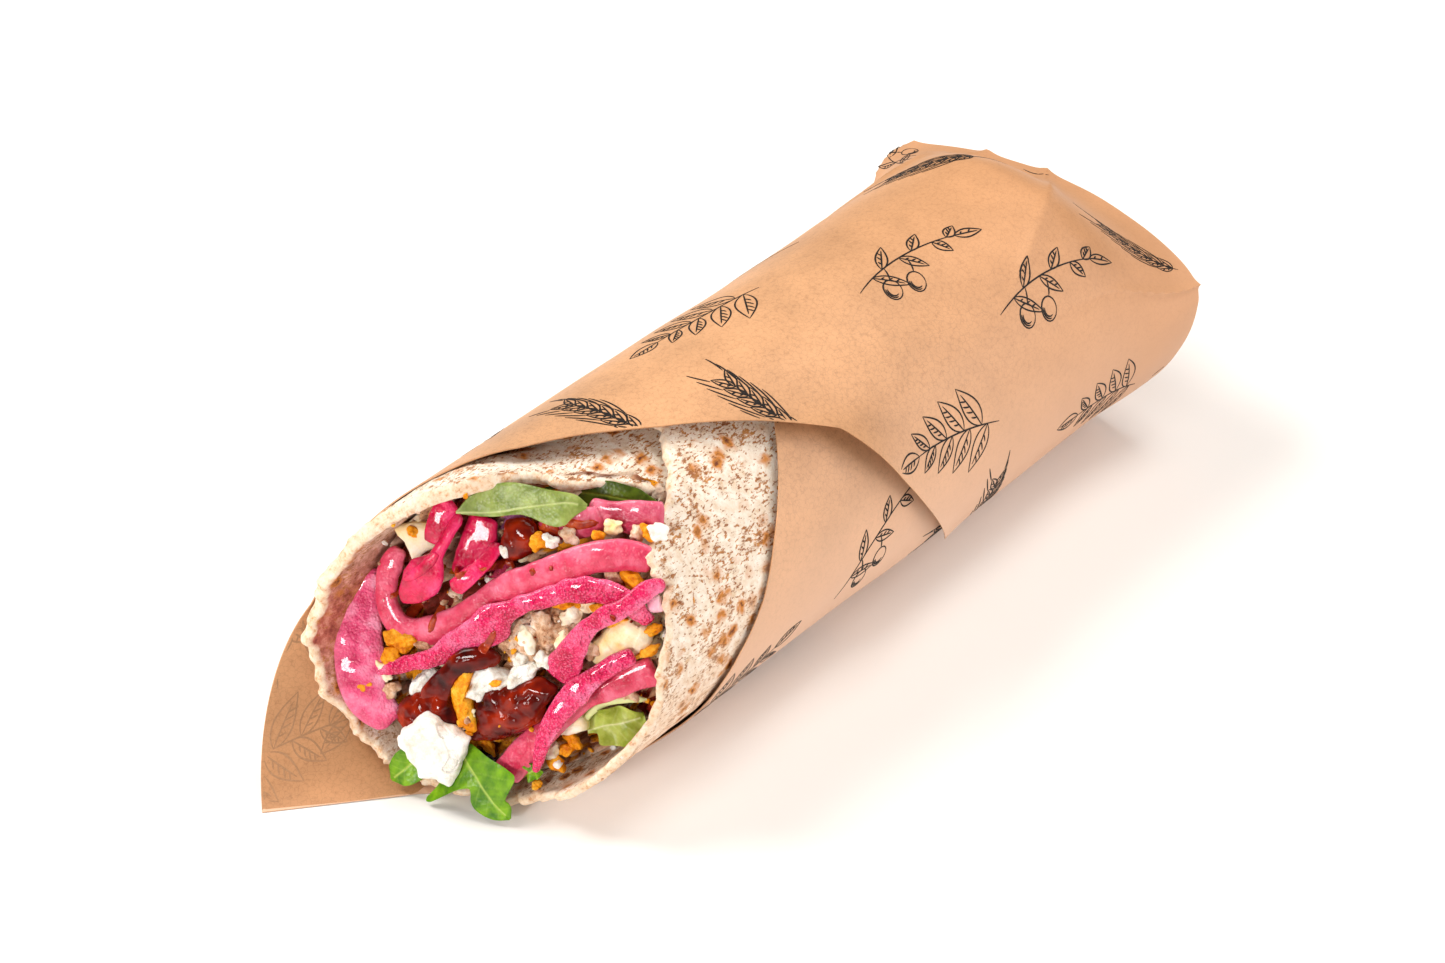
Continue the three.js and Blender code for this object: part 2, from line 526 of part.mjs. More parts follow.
const PIECES = [
  ["feta_chunk", lump, COLOUR.feta, {
    at: [-12.3, -25.2, 8.2], size: [7.2, 7.4, 4.6], turn: -8, seed: 5, cuts: 12, detail: 2,
  }],
  ["rocket_leaf", leaf, COLOUR.leaf, {
    path: [[-7.5, -25.5, 3.2], [-2, -26.5, 6.5], [2, -29.2, 8.2], [5.5, -34, 8.6]],
    halves: [1, 4.5, 2.2, 6.8, 6, 1], ripples: 2, wave: 0.5,
  }],
  ["rocket_side_leaf", leaf, COLOUR.leaf, {
    path: [[-14, -25.5, 2.6], [-17.5, -28.4, 5.2], [-20.5, -32.2, 7.5]],
    halves: [1, 3.2, 3.8, 1], ripples: 2, wave: 0.4, segments: 8,
  }],
  ["onion_textured", strip, COLOUR.onion, {
    path: [[26.4, 5.8, 3.9], [22, 1.3, 4.9], [17.6, -3.6, 5.9], [13.9, -8.4, 6.9], [11, -15, 7.4],
      [9.3, -24.8, 6.4]],
    widths: [3.4, 4.6, 4.6, 4, 3.4, 2], thick: 2.2,
  }],
  ["onion_fork", strip, COLOUR.onion, {
    path: [[34, 20.6, 1.6], [28, 18, 5], [21, 10.9, 6.6], [16, 3.6, 6.2], [12.4, -3, 5.4], [9.4, -8, 3.6]],
    widths: [2.6, 3, 3.4, 4.2, 6.5, 6], thick: 1.8,
  }],
  ["onion_wavy", strip, COLOUR.onion, {
    path: [[-27, -12.4, 3.4], [-20, -8.7, 4.4], [-12.6, -4.1, 4.6], [-3.8, 3.6, 5.1], [3.9, 9.6, 4.4],
      [10.8, 13.8, 3.4], [17.8, 16.9, 2.9], [24.4, 14.9, 2.6], [31, 10.6, 0.4]],
    widths: [2, 3.4, 6, 6.6, 4, 3.6, 3.6, 4.4, 5], thick: 1.9, segments: 16,
  }],
  ["onion_thin_streak", strip, COLOUR.hotOnion, {
    path: [[-3.7, 22.3, 0.6], [-4.1, 18.4, 2.4], [-7.3, 14.4, 4.4], [-11.1, 9.6, 5.2]],
    widths: [2, 2.6, 3, 2], thick: 1.5, segments: 8,
  }],
  ["onion_hot_ribbon", strip, COLOUR.hotOnion, {
    path: [[-15.3, 25.4, 0.6], [-12.8, 21.9, 2.5], [-13.7, 16.2, 3.6], [-17.9, 10.2, 3.8], [-22, 4.6, 3.6]],
    widths: [3.4, 5, 3.4, 4.6, 6.5], thick: 2, lean: [30, 20, 0, -10, 0],
  }],
  ["onion_big_ring", strip, COLOUR.paleOnion, {
    path: [[-25.2, 14.4, -1.4], [-27.6, 5.4, 0.4], [-24.8, -1, 1.3], [-17.6, -1, 1.7], [-8.8, 5.3, 1.8],
      [-0.2, 12.7, 1.7], [9.1, 18.7, 1.6], [18.2, 22.5, 1.1], [27.6, 23.3, -0.6], [33, 22.4, -2.6]],
    widths: [5, 5.6, 6.2, 6, 5.6, 5.2, 5.4, 6.4, 6.6, 6], thick: 2.8, segments: 18,
  }],
  ["onion_lower_band", strip, COLOUR.paleOnion, {
    path: [[31.5, 0.6, 0], [25.4, -3, 1.2], [18.7, -7.4, 2.4], [12.7, -12.3, 3.4], [7.7, -18.5, 4.2],
      [2.8, -26, 5]],
    widths: [6, 5.6, 4.6, 3.6, 4.6, 6], thick: 2.4,
  }],
  ["onion_left_slab", strip, COLOUR.onion, {
    path: [[-30.2, 7.5, -3], [-31, -1.5, 0.2], [-29.6, -10.3, 3.4], [-26.4, -17.6, 4.8], [-21, -22, 4]],
    widths: [5, 9, 10.5, 9, 5], thick: 2.4, lean: [-12, -14, -16, -14, -10],
  }],
  ["sauce_left", lump, COLOUR.sauce, {
    at: [-14.6, -16.6, 4.4], size: [7.4, 5.2, 3], turn: -8, seed: 3, cuts: 0, detail: 2,
  }],
  ["sauce_middle", lump, COLOUR.sauce, {
    at: [1.8, -13.2, 3.7], size: [8.6, 5, 2.6], turn: 18, seed: 4, cuts: 0, detail: 2,
  }],
  ["sauce_arch", lump, COLOUR.sauce, {
    at: [-9.4, -5.7, 2.4], size: [7.2, 2.6, 2.2], turn: 38, seed: 9, cuts: 0, detail: 2,
  }],
  ["sauce_top", lump, COLOUR.sauce, {
    at: [0.3, 20.3, -0.4], size: [4.6, 3.6, 2.6], turn: 10, seed: 8, cuts: 0, detail: 2,
  }],
  ["crust_wedge", lump, COLOUR.crust, {
    at: [-7.6, -13.4, 4.6], size: [2.3, 6.6, 2.4], turn: -10, seed: 12, cuts: 8,
  }],
  ["feta_piece_a", lump, COLOUR.feta, { at: [-3.1, -7.6, 3.9], size: [3.6, 2.8, 2.2], seed: 21 }],
  ["feta_piece_b", lump, COLOUR.feta, { at: [4.1, -5.2, 3.6], size: [3.4, 2.6, 2.2], turn: 20, seed: 22 }],
  ["feta_piece_c", lump, COLOUR.feta, { at: [-17.4, -11.6, 2.4], size: [3, 2.4, 2], turn: 30, seed: 23 }],
  ["falafel_piece", lump, COLOUR.filling, {
    at: [5.6, 1.6, 0.4], size: [7.4, 5.6, 3.4], turn: 20, seed: 31, cuts: 14, detail: 2,
  }],
  ["egg_piece_right", lump, COLOUR.cream, {
    at: [21.6, 6.6, 0.6], size: [6.4, 4.2, 2.8], turn: -20, seed: 33, cuts: 12,
  }],
  ["egg_piece_low", lump, COLOUR.cream, { at: [15, -14.4, 1.4], size: [3.6, 2.8, 2], turn: 30, seed: 34 }],
  ["egg_piece_top", lump, COLOUR.cream, {
    at: [-22.6, 17, -0.6], size: [3.6, 4.2, 2.2], turn: 35, seed: 35,
  }],
  ["onion_deep_slab", strip, COLOUR.onion, {
    path: [[-8, 24.4, -1.9], [-10.1, 18.8, -0.4], [-12.1, 13.1, 0.7]],
    widths: [4.4, 6.4, 4.2], thick: 2, segments: 8,
  }],
  ["onion_top_slice", strip, COLOUR.onion, {
    path: [[-5.1, 25, -2.6], [0.8, 25, -3.2], [6.4, 26.2, -3.7], [11, 27.2, -4.1], [14.8, 28, -4.5]],
    widths: [3, 4.8, 5.8, 5.6, 4.4], thick: 2.4, segments: 8,
  }],
  ["onion_top_right", strip, COLOUR.paleOnion, {
    path: [[9.9, 29.2, -5.4], [16, 29, -5.3], [21, 28.8, -5.4], [27.4, 28.4, -6.2]],
    widths: [4, 6.6, 7.4, 7], thick: 2.4, segments: 8,
  }],
  ["leaf_light", leaf, COLOUR.paleLeaf, {
    path: [[-12.9, 26, 2.7], [-8.2, 27.6, 1.7], [-2.4, 29.2, 0.4], [4.5, 30, -0.9], [11.6, 30.6, -2.4]],
    halves: [0.6, 3.2, 4.6, 4.6, 0.8], cup: 0.1, wave: 0.3, ripples: 2, lean: -15,
  }],
  ["leaf_dark", leaf, COLOUR.leaf, {
    path: [[0.8, 29.8, -7.4], [7.6, 30.6, -8.4], [14.5, 31, -9.4], [21.4, 30.8, -10.4], [25.4, 30.6, -11.2]],
    halves: [0.6, 2.4, 3.2, 2.8, 0.8], cup: 0.1, wave: 0.3, ripples: 2, lean: -20, segments: 8,
  }],
  ["leaf_curled", leaf, COLOUR.paleLeaf, {
    path: [[17.6, -17.4, -2.4], [21.6, -15, -0.6], [26, -13.4, -0.8], [29, -12.6, -2.4]],
    halves: [1, 3.6, 4, 1.4], cup: 0.35, wave: 0.5, ripples: 2, segments: 8,
  }],
  ["olive_piece", lump, COLOUR.olive, { at: [-2.6, -24.6, 2.6], size: [4.2, 1.8, 1.6], seed: 41, cuts: 4 }],
];

// What hangs out over the flatbread's rim. The rest stays inside it.
const OVER_THE_RIM = new Set(["feta_chunk", "rocket_leaf", "rocket_side_leaf"]);

// Bits that are stuck to the core: [across, up, out, half length, half width].
const CRUMBS = [
  [-23, -6.7, 0.6, 3.6, 2.4], [-28, -14.6, 1.4, 3, 1.8], [5, 21.6, -1.2, 2.6, 3],
  [10.5, 10.2, -0.6, 4.2, 2.8], [24, 18.6, -2, 3.2, 2], [23.2, 26.4, -4.4, 3.4, 2],
  [28, 4.4, -1.4, 2.2, 3], [11.6, -22, 0.2, 2.4, 1.6], [-2.7, -21.4, 1.6, 3.4, 2],
  [-19, -4.6, 0.4, 3.4, 2.4], [15.8, 9.4, -1.4, 3.6, 2.6], [-14, 8, -0.6, 3, 3],
];

// ---- Assembly ----

// Keeps a piece between the flatbread's floor and walls.
const room = solidOf(coreRoom());

function coreRoom() {
  const columns = 44;
  const inside = -BREAD_THICK / 2 - GAP;
  const turns = Array.from({ length: columns }, (_, i) => (360 * i) / columns);
  const floor = BREAD_FLOOR + BREAD_THICK + GAP;
  const ring = (x) => turns.map((turn) => breadPoint(x, turn, inside + climbInside(turn, 325, 345), floor));
  return loft([-30, 30, 38, 46, 52, 120].map(ring));
}

const breadSolid = largest(solidOf(woundBread()).add(solidOf(breadEnd())));
const paperSolid = largest(solidOf(woundPaper()).add(solidOf(paperEnd())));

const group = new THREE.Group();

// A solid's surface, with the points that a cut leaves closer together than SLIVER drawn into one.
function cleanSurface(solid) {
  const { vertProperties, triVerts } = solid.getMesh();
  const cut = new THREE.BufferGeometry();
  cut.setAttribute("position", new THREE.Float32BufferAttribute(vertProperties, 3));
  cut.setIndex(Array.from(triVerts));
  const merged = mergeVertices(cut, SLIVER);
  const corners = merged.index.array;
  const faces = [];
  for (let i = 0; i < corners.length; i += 3) {
    const [a, b, c] = [corners[i], corners[i + 1], corners[i + 2]];
    if (a !== b && b !== c && c !== a) faces.push(a, b, c);
  }
  return merged.setIndex(faces);
}

function addNode(name, solid, colour, roughness) {
  const geometry = cleanSurface(solid);
  geometry.computeVertexNormals();
  const mesh = new THREE.Mesh(geometry, matt(colour, roughness));
  mesh.name = name;
  mesh.position.copy(ORIGIN).negate();
  group.add(mesh);
}

addNode("paper_wrapper", paperSolid, COLOUR.paper, 0.85);
addNode("flatbread", breadSolid, COLOUR.bread, 0.8);

let taken = breadSolid.add(paperSolid);
for (const [name, build, colour, sizes] of PIECES) {
  const whole = solidOf(build(sizes));
  const free = largest((OVER_THE_RIM.has(name) ? whole : whole.intersect(room)).subtract(taken));
  addNode(name, free, colour, build === leaf ? 0.5 : GLOSSY);
  taken = taken.add(solidOf(build(sizes, GAP)));
}

let core = solidOf(coreBody());
CRUMBS.forEach(([across, up, out, long, wide], i) => {
  const crumb = { at: [across, up, out], size: [long, wide, 2], turn: 50 * i, seed: 60 + i, cuts: 8 };
  core = core.add(solidOf(lump(crumb)).intersect(room));
});
addNode("filling_core", largest(core.subtract(taken)), COLOUR.filling, 0.8);

export default group;
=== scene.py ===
"""A falafel wrap lying on its side: a flatbread rolled round its filling, in a printed sheet of kraft paper.

Shapes are worked out in millimetres in the roll's own frame, whose X axis runs along the roll's foot line from
its open mouth to its closed end, with Z up. They reach the mesh in metres, in the frame of the CAD part."""
import math
from functools import partial

import bpy
import numpy as np
from mathutils import Matrix, Vector
from mathutils.bvhtree import BVHTree


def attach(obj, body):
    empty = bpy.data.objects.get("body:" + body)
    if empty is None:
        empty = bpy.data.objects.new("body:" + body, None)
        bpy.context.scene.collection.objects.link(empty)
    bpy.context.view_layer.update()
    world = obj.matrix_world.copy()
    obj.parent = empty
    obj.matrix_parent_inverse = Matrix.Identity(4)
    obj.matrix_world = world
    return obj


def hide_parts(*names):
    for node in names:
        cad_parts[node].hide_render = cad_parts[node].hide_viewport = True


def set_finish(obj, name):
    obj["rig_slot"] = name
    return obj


bl_info = {
    "name": "Falafel Wrap",
    "version": (1, 0, 0),
    "blender": (4, 5, 0),
    "location": "3D View > Sidebar > Wrap",
    "description": "Builds a falafel wrap in kraft paper, and a pale studio round it",
    "category": "Object",
}

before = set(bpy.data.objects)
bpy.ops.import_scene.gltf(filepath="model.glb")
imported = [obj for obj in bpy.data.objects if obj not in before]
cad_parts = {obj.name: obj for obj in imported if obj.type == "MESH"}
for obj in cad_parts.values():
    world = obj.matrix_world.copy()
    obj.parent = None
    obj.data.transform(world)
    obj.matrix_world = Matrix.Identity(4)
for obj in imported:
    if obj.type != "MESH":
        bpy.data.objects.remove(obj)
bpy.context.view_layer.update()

MM = 0.001
DEG = math.pi / 180
ORIGIN = np.array([102.25, 5.6, 0.0])  # where the part's origin stands in the roll's frame

# The paper roll and its folded end.
ROLL_RADIUS = 34.8  # to the middle of the outer layer's thickness
ROLL_MIDDLE = 33.6  # height of the roll's axis
ROLL_END = 218
PAPER_FACE = 0.25  # from there out to the paper's face
PAPER_STEP = 1.1  # from the outer layer in to the one under it
FOLD_START = 184  # from here to the end the roll is
FOLD_WIDEN = 9  # widened on both sides,
FOLD_SHIFT = 5.6  # moved over to the left,
FOLD_DROP = 20  # let down on top,
FOLD_EARS = 3  # raised at its side corners
FOLD_SLANT = 12  # and drawn forwards at its foot
PANEL_Z = 26  # height of the end panel's middle
# Long fold lines: [arc, X, slope, width] of each.
CREASES = [(70, 150, 0.35, 6), (128, 176, -0.5, 5), (30, 170, 0.9, 5), (-60, 160, -0.7, 5), (150, 200, 0.2, 4)]

# The flat sheet, whose places are [arc from the foot line, X]: its sides, front corner and front edges.
PAPER_SIDES = (-109, 185)
CORNER_ARC = 28.5
CORNER_X = -13.5
PAPER_EDGE = [
    (PAPER_SIDES[0], 105), (-89, 89), (-70, 75), (-60, 68.5), (-51, 61), (-44, 57), (-36, 54), (-28, 49), (-20, 41),
    (7, 13), (CORNER_ARC, CORNER_X), (55, 8), (99, 46), (116, 68), (137, 99), (153, 110), (PAPER_SIDES[1], 133),
]
CORNER_UNROLL = 19.5  # how much of the arc lies flat at the corner's tip
UNROLL_END = 10
FLAP_LIFT = 1.6  # how far the free edge stands off the layer under it,
FLAP_GAPE = 2.4  # how much further it does where it gapes most
FLAP_REACH = 9  # and how far behind the edge this fades
LINE_OUTSIDE = 0.38  # width of the printed lines, on the face and
LINE_INSIDE = 0.34  # where they show through on the corner's back,
LINE_INSIDE_END = 26  # which is as far as they can be seen there

# The flatbread: its thickness, its winding, its circles in front and behind, and its rim, as [turn, place].
BREAD_THICK = 2.4
BREAD_STEP = 2.9  # from the inner layer out to the next
BREAD_START = -50
BREAD_STOP = 388
BREAD_WOUND_STOP = 154  # end of the wound sheet along the roll
BREAD_END_START = 148  # start of the closed end's wall,
BREAD_ROUND_START = 165  # of its rounding
BREAD_END = 200  # and its back
BREAD_ROUNDNESS = 2.2
BREAD_FLOOR = 0.85  # height of its underside
BREAD_FRONT = (0.3, 34, 32)
BREAD_BACK = (1.25, 32.4, 30.25)
BREAD_RIM = [
    (BREAD_START, 70), (-29, 61), (-8, 48.6), (12, 39.6), (22, 29), (45, 20), (75, 10.8), (97, 6), (122, 6.4),
    (150, 9.5), (180, 17), (227, 24.3), (245, 27), (252, 32.5), (258, 36), (282, 39), (303, 47.5), (308, 45),
    (316, 46.5), (323, 55.5), (337, 65), (BREAD_STOP, 83),
]

# The mouth: a slanted oval with axes across, up and out.
MOUTH_CENTRE = np.array([31, 0, 33.5])
MOUTH_TURN = 21.8 * DEG
MOUTH_TIP = 17 * DEG
MOUTH_OUT = np.array([
    -math.cos(MOUTH_TURN) * math.cos(MOUTH_TIP), -math.sin(MOUTH_TURN) * math.cos(MOUTH_TIP), math.sin(MOUTH_TIP),
])
MOUTH_ACROSS = np.array([math.sin(MOUTH_TURN), -math.cos(MOUTH_TURN), 0])
MOUTH_UP = np.cross(MOUTH_OUT, MOUTH_ACROSS)
MOUTH_RADIUS = 33

# The filling: its face, with its round swells as [across, up, spread, height], and its end.
FACE_BASE = -2.5
FACE_SWELLS = [(-8, -18, 9, 5.5), (0, 0, 12, 3), (20, -22, 9, -6), (19, 31, 11, -12), (-32, 0, 7, -4)]
FILLING_END = 196
GAP = 0.3  # between the filling and the bread

# The studio: the lights as [name, azimuth, elevation, distance, size, setting of its power, share of it, colour],
# with distance and size in metres and azimuth from the near side round to the closed end, and the camera.
LIGHTS = [
    ("key_light", 202, 50, 0.9, 0.45, "key", 1, (1, 0.97, 0.93)),
    ("fill_light", 34, 30, 1.1, 0.8, "fill", 1, (1, 0.93, 0.9)),
    ("top_light", 70, 70, 1, 0.35, "fill", 0.42, (1, 0.98, 0.95)),
    ("front_light", -82, 20, 0.8, 0.15, "front", 1, (1, 0.98, 0.96)),
]
SKY_COLOUR = (1, 0.95, 0.88, 1)
SKY_STRENGTH = 0.23
FLOOR_HALF = 4
CAMERA_TARGET = Vector((-2.25, -0.9, 30)) * MM
CAMERA_BACK = Vector((-0.5935, -0.5184, 0.6157)).normalized()
CAMERA_DISTANCE = 0.7
SENSOR_WIDTH = 36
FOCAL_PIXELS = 3300  # focal length, counted in pixels of a picture that is
PICTURE_PIXELS = 1445  # this many wide


def linear(colour):
    """A colour written as #RRGGBB in sRGB, as linear red, green and blue."""
    parts = [int(colour[i:i + 2], 16) / 255 for i in (1, 3, 5)]
    return tuple(p / 12.92 if p <= 0.04045 else ((p + 0.055) / 1.055) ** 2.4 for p in parts)


# ---- Settings ----

class PaperSettings(bpy.types.PropertyGroup):
    thickness: bpy.props.FloatProperty(
        name="Thickness", description="Thickness of the kraft sheet", default=0.0003, unit="LENGTH", precision=5)
    dents: bpy.props.FloatProperty(
        name="Dents", description="Depth of the sheet's soft dents", default=0.0007, unit="LENGTH", precision=5)
    colour: bpy.props.FloatVectorProperty(
        name="Kraft", description="Colour of the kraft paper", default=linear("#CC9A70"), subtype="COLOR", size=3)
    ink: bpy.props.FloatVectorProperty(
        name="Ink", description="Colour of the printed sprigs", default=linear("#1C1613"), subtype="COLOR", size=3)


class BreadSettings(bpy.types.PropertyGroup):
    blisters: bpy.props.FloatProperty(
        name="Blisters", description="Height of the blisters", default=0.00035, unit="LENGTH", precision=5)
    colour: bpy.props.FloatVectorProperty(
        name="Crumb", description="Colour of the pale flatbread", default=linear("#EAD9C4"), subtype="COLOR", size=3)
    bran: bpy.props.FloatVectorProperty(
        name="Bran", description="Colour of the bran flecks", default=linear("#C68438"), subtype="COLOR", size=3)


class FillingSettings(bpy.types.PropertyGroup):
    relief: bpy.props.FloatProperty(
        name="Relief", description="Height of the crumbs on the filling's face", default=0.0019, unit="LENGTH")
    crumbs: bpy.props.IntProperty(
        name="Crumbs", description="Number of loose crumbs on the filling", default=150, min=0, max=2000)
    seed: bpy.props.IntProperty(name="Seed", description="Seed of the scattered crumbs", default=7, min=1)


class StudioSettings(bpy.types.PropertyGroup):
    key: bpy.props.FloatProperty(
        name="Key light", description="Power of the large soft light", default=7.4, unit="POWER")
    fill: bpy.props.FloatProperty(
        name="Fill light", description="Power of the light on the near side", default=7.6, unit="POWER")
    front: bpy.props.FloatProperty(
        name="Front light", description="Power of the light on the open mouth", default=3.2, unit="POWER")
    floor: bpy.props.FloatVectorProperty(
        name="Floor", description="Colour of the floor", default=linear("#F4F3F1"), subtype="COLOR", size=3)


# ---- Numbers ----

def smooth_step(low, high, value):
    """From 0 at low to 1 at high along 3 t squared minus 2 t cubed."""
    t = np.clip((np.asarray(value, float) - low) / (high - low), 0, 1)
    return t * t * (3 - 2 * t)


def read_off(pairs, place):
    """Values along straight lines between [place, value] pairs."""
    places, values = zip(*pairs)
    return np.interp(place, places, values)


def along_path(share, values):
    """Values given at even steps along a path, read off at shares of its length."""
    return np.interp(share, np.linspace(0, 1, len(values)), values)


def laid_flat(a, b):
    """Points [a, b, 0]."""
    return np.stack([a, b, 0 * b], axis=-1)


def seeded(seed):
    """A repeatable run of numbers from 0 to 1: each state is the last one times 1664525 plus 1013904223."""
    state = seed
    while True:
        state = (state * 1664525 + 1013904223) % 4294967296
        yield state / 4294967296


def hashed(cells, seed):
    """A number from 0 to 1 for each whole-numbered cell: its counts times large odd numbers, mixed by shifts."""
    c = np.asarray(cells).astype(np.int64).astype(np.uint64)
    odd = np.array([73856093, 19349663, 83492791, 2654435761], dtype=np.uint64)
    low = np.uint64(0xFFFFFFFF)
    mixed = (c[..., 0] * odd[0]) ^ (c[..., 1] * odd[1]) ^ (c[..., 2] * odd[2]) ^ (np.uint64(seed) * odd[3])
    for shift, factor in ((15, 2246822519), (13, 3266489917)):
        mixed &= low
        mixed = (mixed ^ (mixed >> np.uint64(shift))) * np.uint64(factor)
    mixed &= low
    return ((mixed ^ (mixed >> np.uint64(16))) & low).astype(float) / 4294967295


def smooth_noise(points, size, seed):
    """Noise from -1 to 1: random values at the corners of cubes of a size, blended smoothly inside each."""
    place = np.asarray(points, float) / size
    cell = np.floor(place)
    t = place - cell
    t = t * t * (3 - 2 * t)
    total = 0
    for corner in np.ndindex(2, 2, 2):
        weight = np.prod(np.where(np.array(corner) == 1, t, 1 - t), axis=-1)
        total = total + weight * hashed(cell + corner, seed)
    return 2 * total - 1


def lumpy_noise(points, size, seed):
    """Cells round one random place a cube: for each point its distance to the nearest place, how much further the
    second nearest is, that place's number from 0 to 1, and the way from it, in cubes."""
    place = np.asarray(points, float) / size
    cell = np.floor(place)
    nearest = np.full(place.shape[:-1], 9.0)
    second = nearest.copy()
    number = np.zeros(place.shape[:-1])
    way = np.zeros(place.shape)
    for step in np.ndindex(3, 3, 3):
        other = cell + np.array(step) - 1
        centre = other + np.stack([hashed(other, seed + k) for k in range(3)], axis=-1)
        away = np.linalg.norm(place - centre, axis=-1)
        closer = away < nearest
        second = np.where(closer, nearest, np.minimum(second, away))
        nearest = np.where(closer, away, nearest)
        number = np.where(closer, hashed(other, seed + 5), number)
        way = np.where(closer[..., None], place - centre, way)
    return nearest, second - nearest, number, way


def smooth_path(places, shares):
    """Points and directions at shares of the length of a curve through places. Between two places it is the
    cubic whose end slopes are the slopes of the whole run there, against the root of the spacing."""
    places = np.asarray(places, float)
    knots = np.concatenate([[0], np.cumsum(np.sqrt(np.linalg.norm(np.diff(places, axis=0), axis=1)))])
    slopes = np.gradient(places, knots, axis=0)
    fine = np.linspace(0, knots[-1], 80 * len(places))
    i = np.clip(np.searchsorted(knots, fine, side="right") - 1, 0, len(places) - 2)
    gap = (knots[i + 1] - knots[i])[:, None]
    t = (fine[:, None] - knots[i][:, None]) / gap
    curve = (
        (2 * t**3 - 3 * t**2 + 1) * places[i] + (t**3 - 2 * t**2 + t) * gap * slopes[i]
        + (3 * t**2 - 2 * t**3) * places[i + 1] + (t**3 - t**2) * gap * slopes[i + 1]
    )
    length = np.concatenate([[0], np.cumsum(np.linalg.norm(np.diff(curve, axis=0), axis=1))])
    direction = np.gradient(curve, length, axis=0)
    at = np.asarray(shares) * length[-1]
    found = [np.stack([np.interp(at, length, line[:, k]) for k in range(3)], axis=1) for line in (curve, direction)]
    return found[0], found[1] / np.linalg.norm(found[1], axis=1, keepdims=True), length[-1]


def mouth_point(place):
    """Places [across, up, out] in the mouth, as points of the roll's frame."""
    place = np.asarray(place, float)
    return MOUTH_CENTRE + place[..., :1] * MOUTH_ACROSS + place[..., 1:2] * MOUTH_UP + place[..., 2:3] * MOUTH_OUT


# ---- Meshes: a solid is its points, quads and triangles ----

NO_TRIANGLES = np.zeros((0, 3), int)


def grid_quads(index, wrap=False):
    """The quads of a grid of point numbers, closed round its columns where wrap is set."""
    if wrap:
        index = np.concatenate([index, index[:, :1]], axis=1)
    return np.stack([index[:-1, :-1], index[:-1, 1:], index[1:, 1:], index[1:, :-1]], axis=-1).reshape(-1, 4)


def closed_sheet(outer, inner):
    """The thin solid between two grids of points: both faces, and the border round them."""
    rows, columns = outer.shape[:2]
    index = np.arange(rows * columns).reshape(rows, columns)
    under = rows * columns
    edge = np.concatenate([index[0, :-1], index[:-1, -1], index[-1, :0:-1], index[:0:-1, 0]])
    following = np.roll(edge, -1)
    border = np.stack([following, edge, edge + under, following + under], axis=-1)
    points = np.concatenate([outer.reshape(-1, 3), inner.reshape(-1, 3)])
    quads = np.concatenate([grid_quads(index), grid_quads(index)[:, ::-1] + under, border])
    return points, quads, NO_TRIANGLES


def closed_loft(rings, poles=None):
    """The solid through closed rings, whose ends are fans of triangles round a point in their middle."""
    stations, around = rings.shape[:2]
    index = np.arange(stations * around).reshape(stations, around)
    if poles is None:
        poles = np.stack([rings[0].mean(0), rings[-1].mean(0)])
    first, last = stations * around, stations * around + 1
    start, end = index[0], index[-1]
    fans = [
        np.stack([np.full(around, first), np.roll(start, -1), start], axis=-1),
        np.stack([np.full(around, last), end, np.roll(end, -1)], axis=-1),
    ]
    return np.concatenate([rings.reshape(-1, 3), poles]), grid_quads(index, wrap=True), np.concatenate(fans)


def ball(rows, columns):
    """A ball of radius 1: rings of columns points, with a pole at both ends."""
    polar = np.pi * (np.arange(rows) + 1)[:, None] / (rows + 1)
    round_angle = 2 * np.pi * np.arange(columns) / columns
    rings = np.stack(np.broadcast_arrays(
        np.sin(polar) * np.cos(round_angle), np.sin(polar) * np.sin(round_angle), np.cos(polar)), axis=-1)
    return closed_loft(rings, np.array([[0, 0, 1], [0, 0, -1]]))


def faces_out(points, quads, triangles):
    """The solid with all its faces turned round where the volume that they enclose comes out negative."""
    corners = np.concatenate([quads[:, [0, 1, 2]], quads[:, [0, 2, 3]], triangles])
    a, b, c = ((points - points.mean(0))[corners[:, k]] for k in range(3))
    if np.einsum("ij,ij->", a, np.cross(b, c)) < 0:
        return points, quads[:, ::-1], triangles[:, ::-1]
    return points, quads, triangles


def joined(solids):
    """Several solids as one."""
    start = np.cumsum([0] + [len(s[0]) for s in solids])
    return tuple(
        np.concatenate([s[k] + (0 if k == 0 else start[i]) for i, s in enumerate(solids)]) for k in range(3))


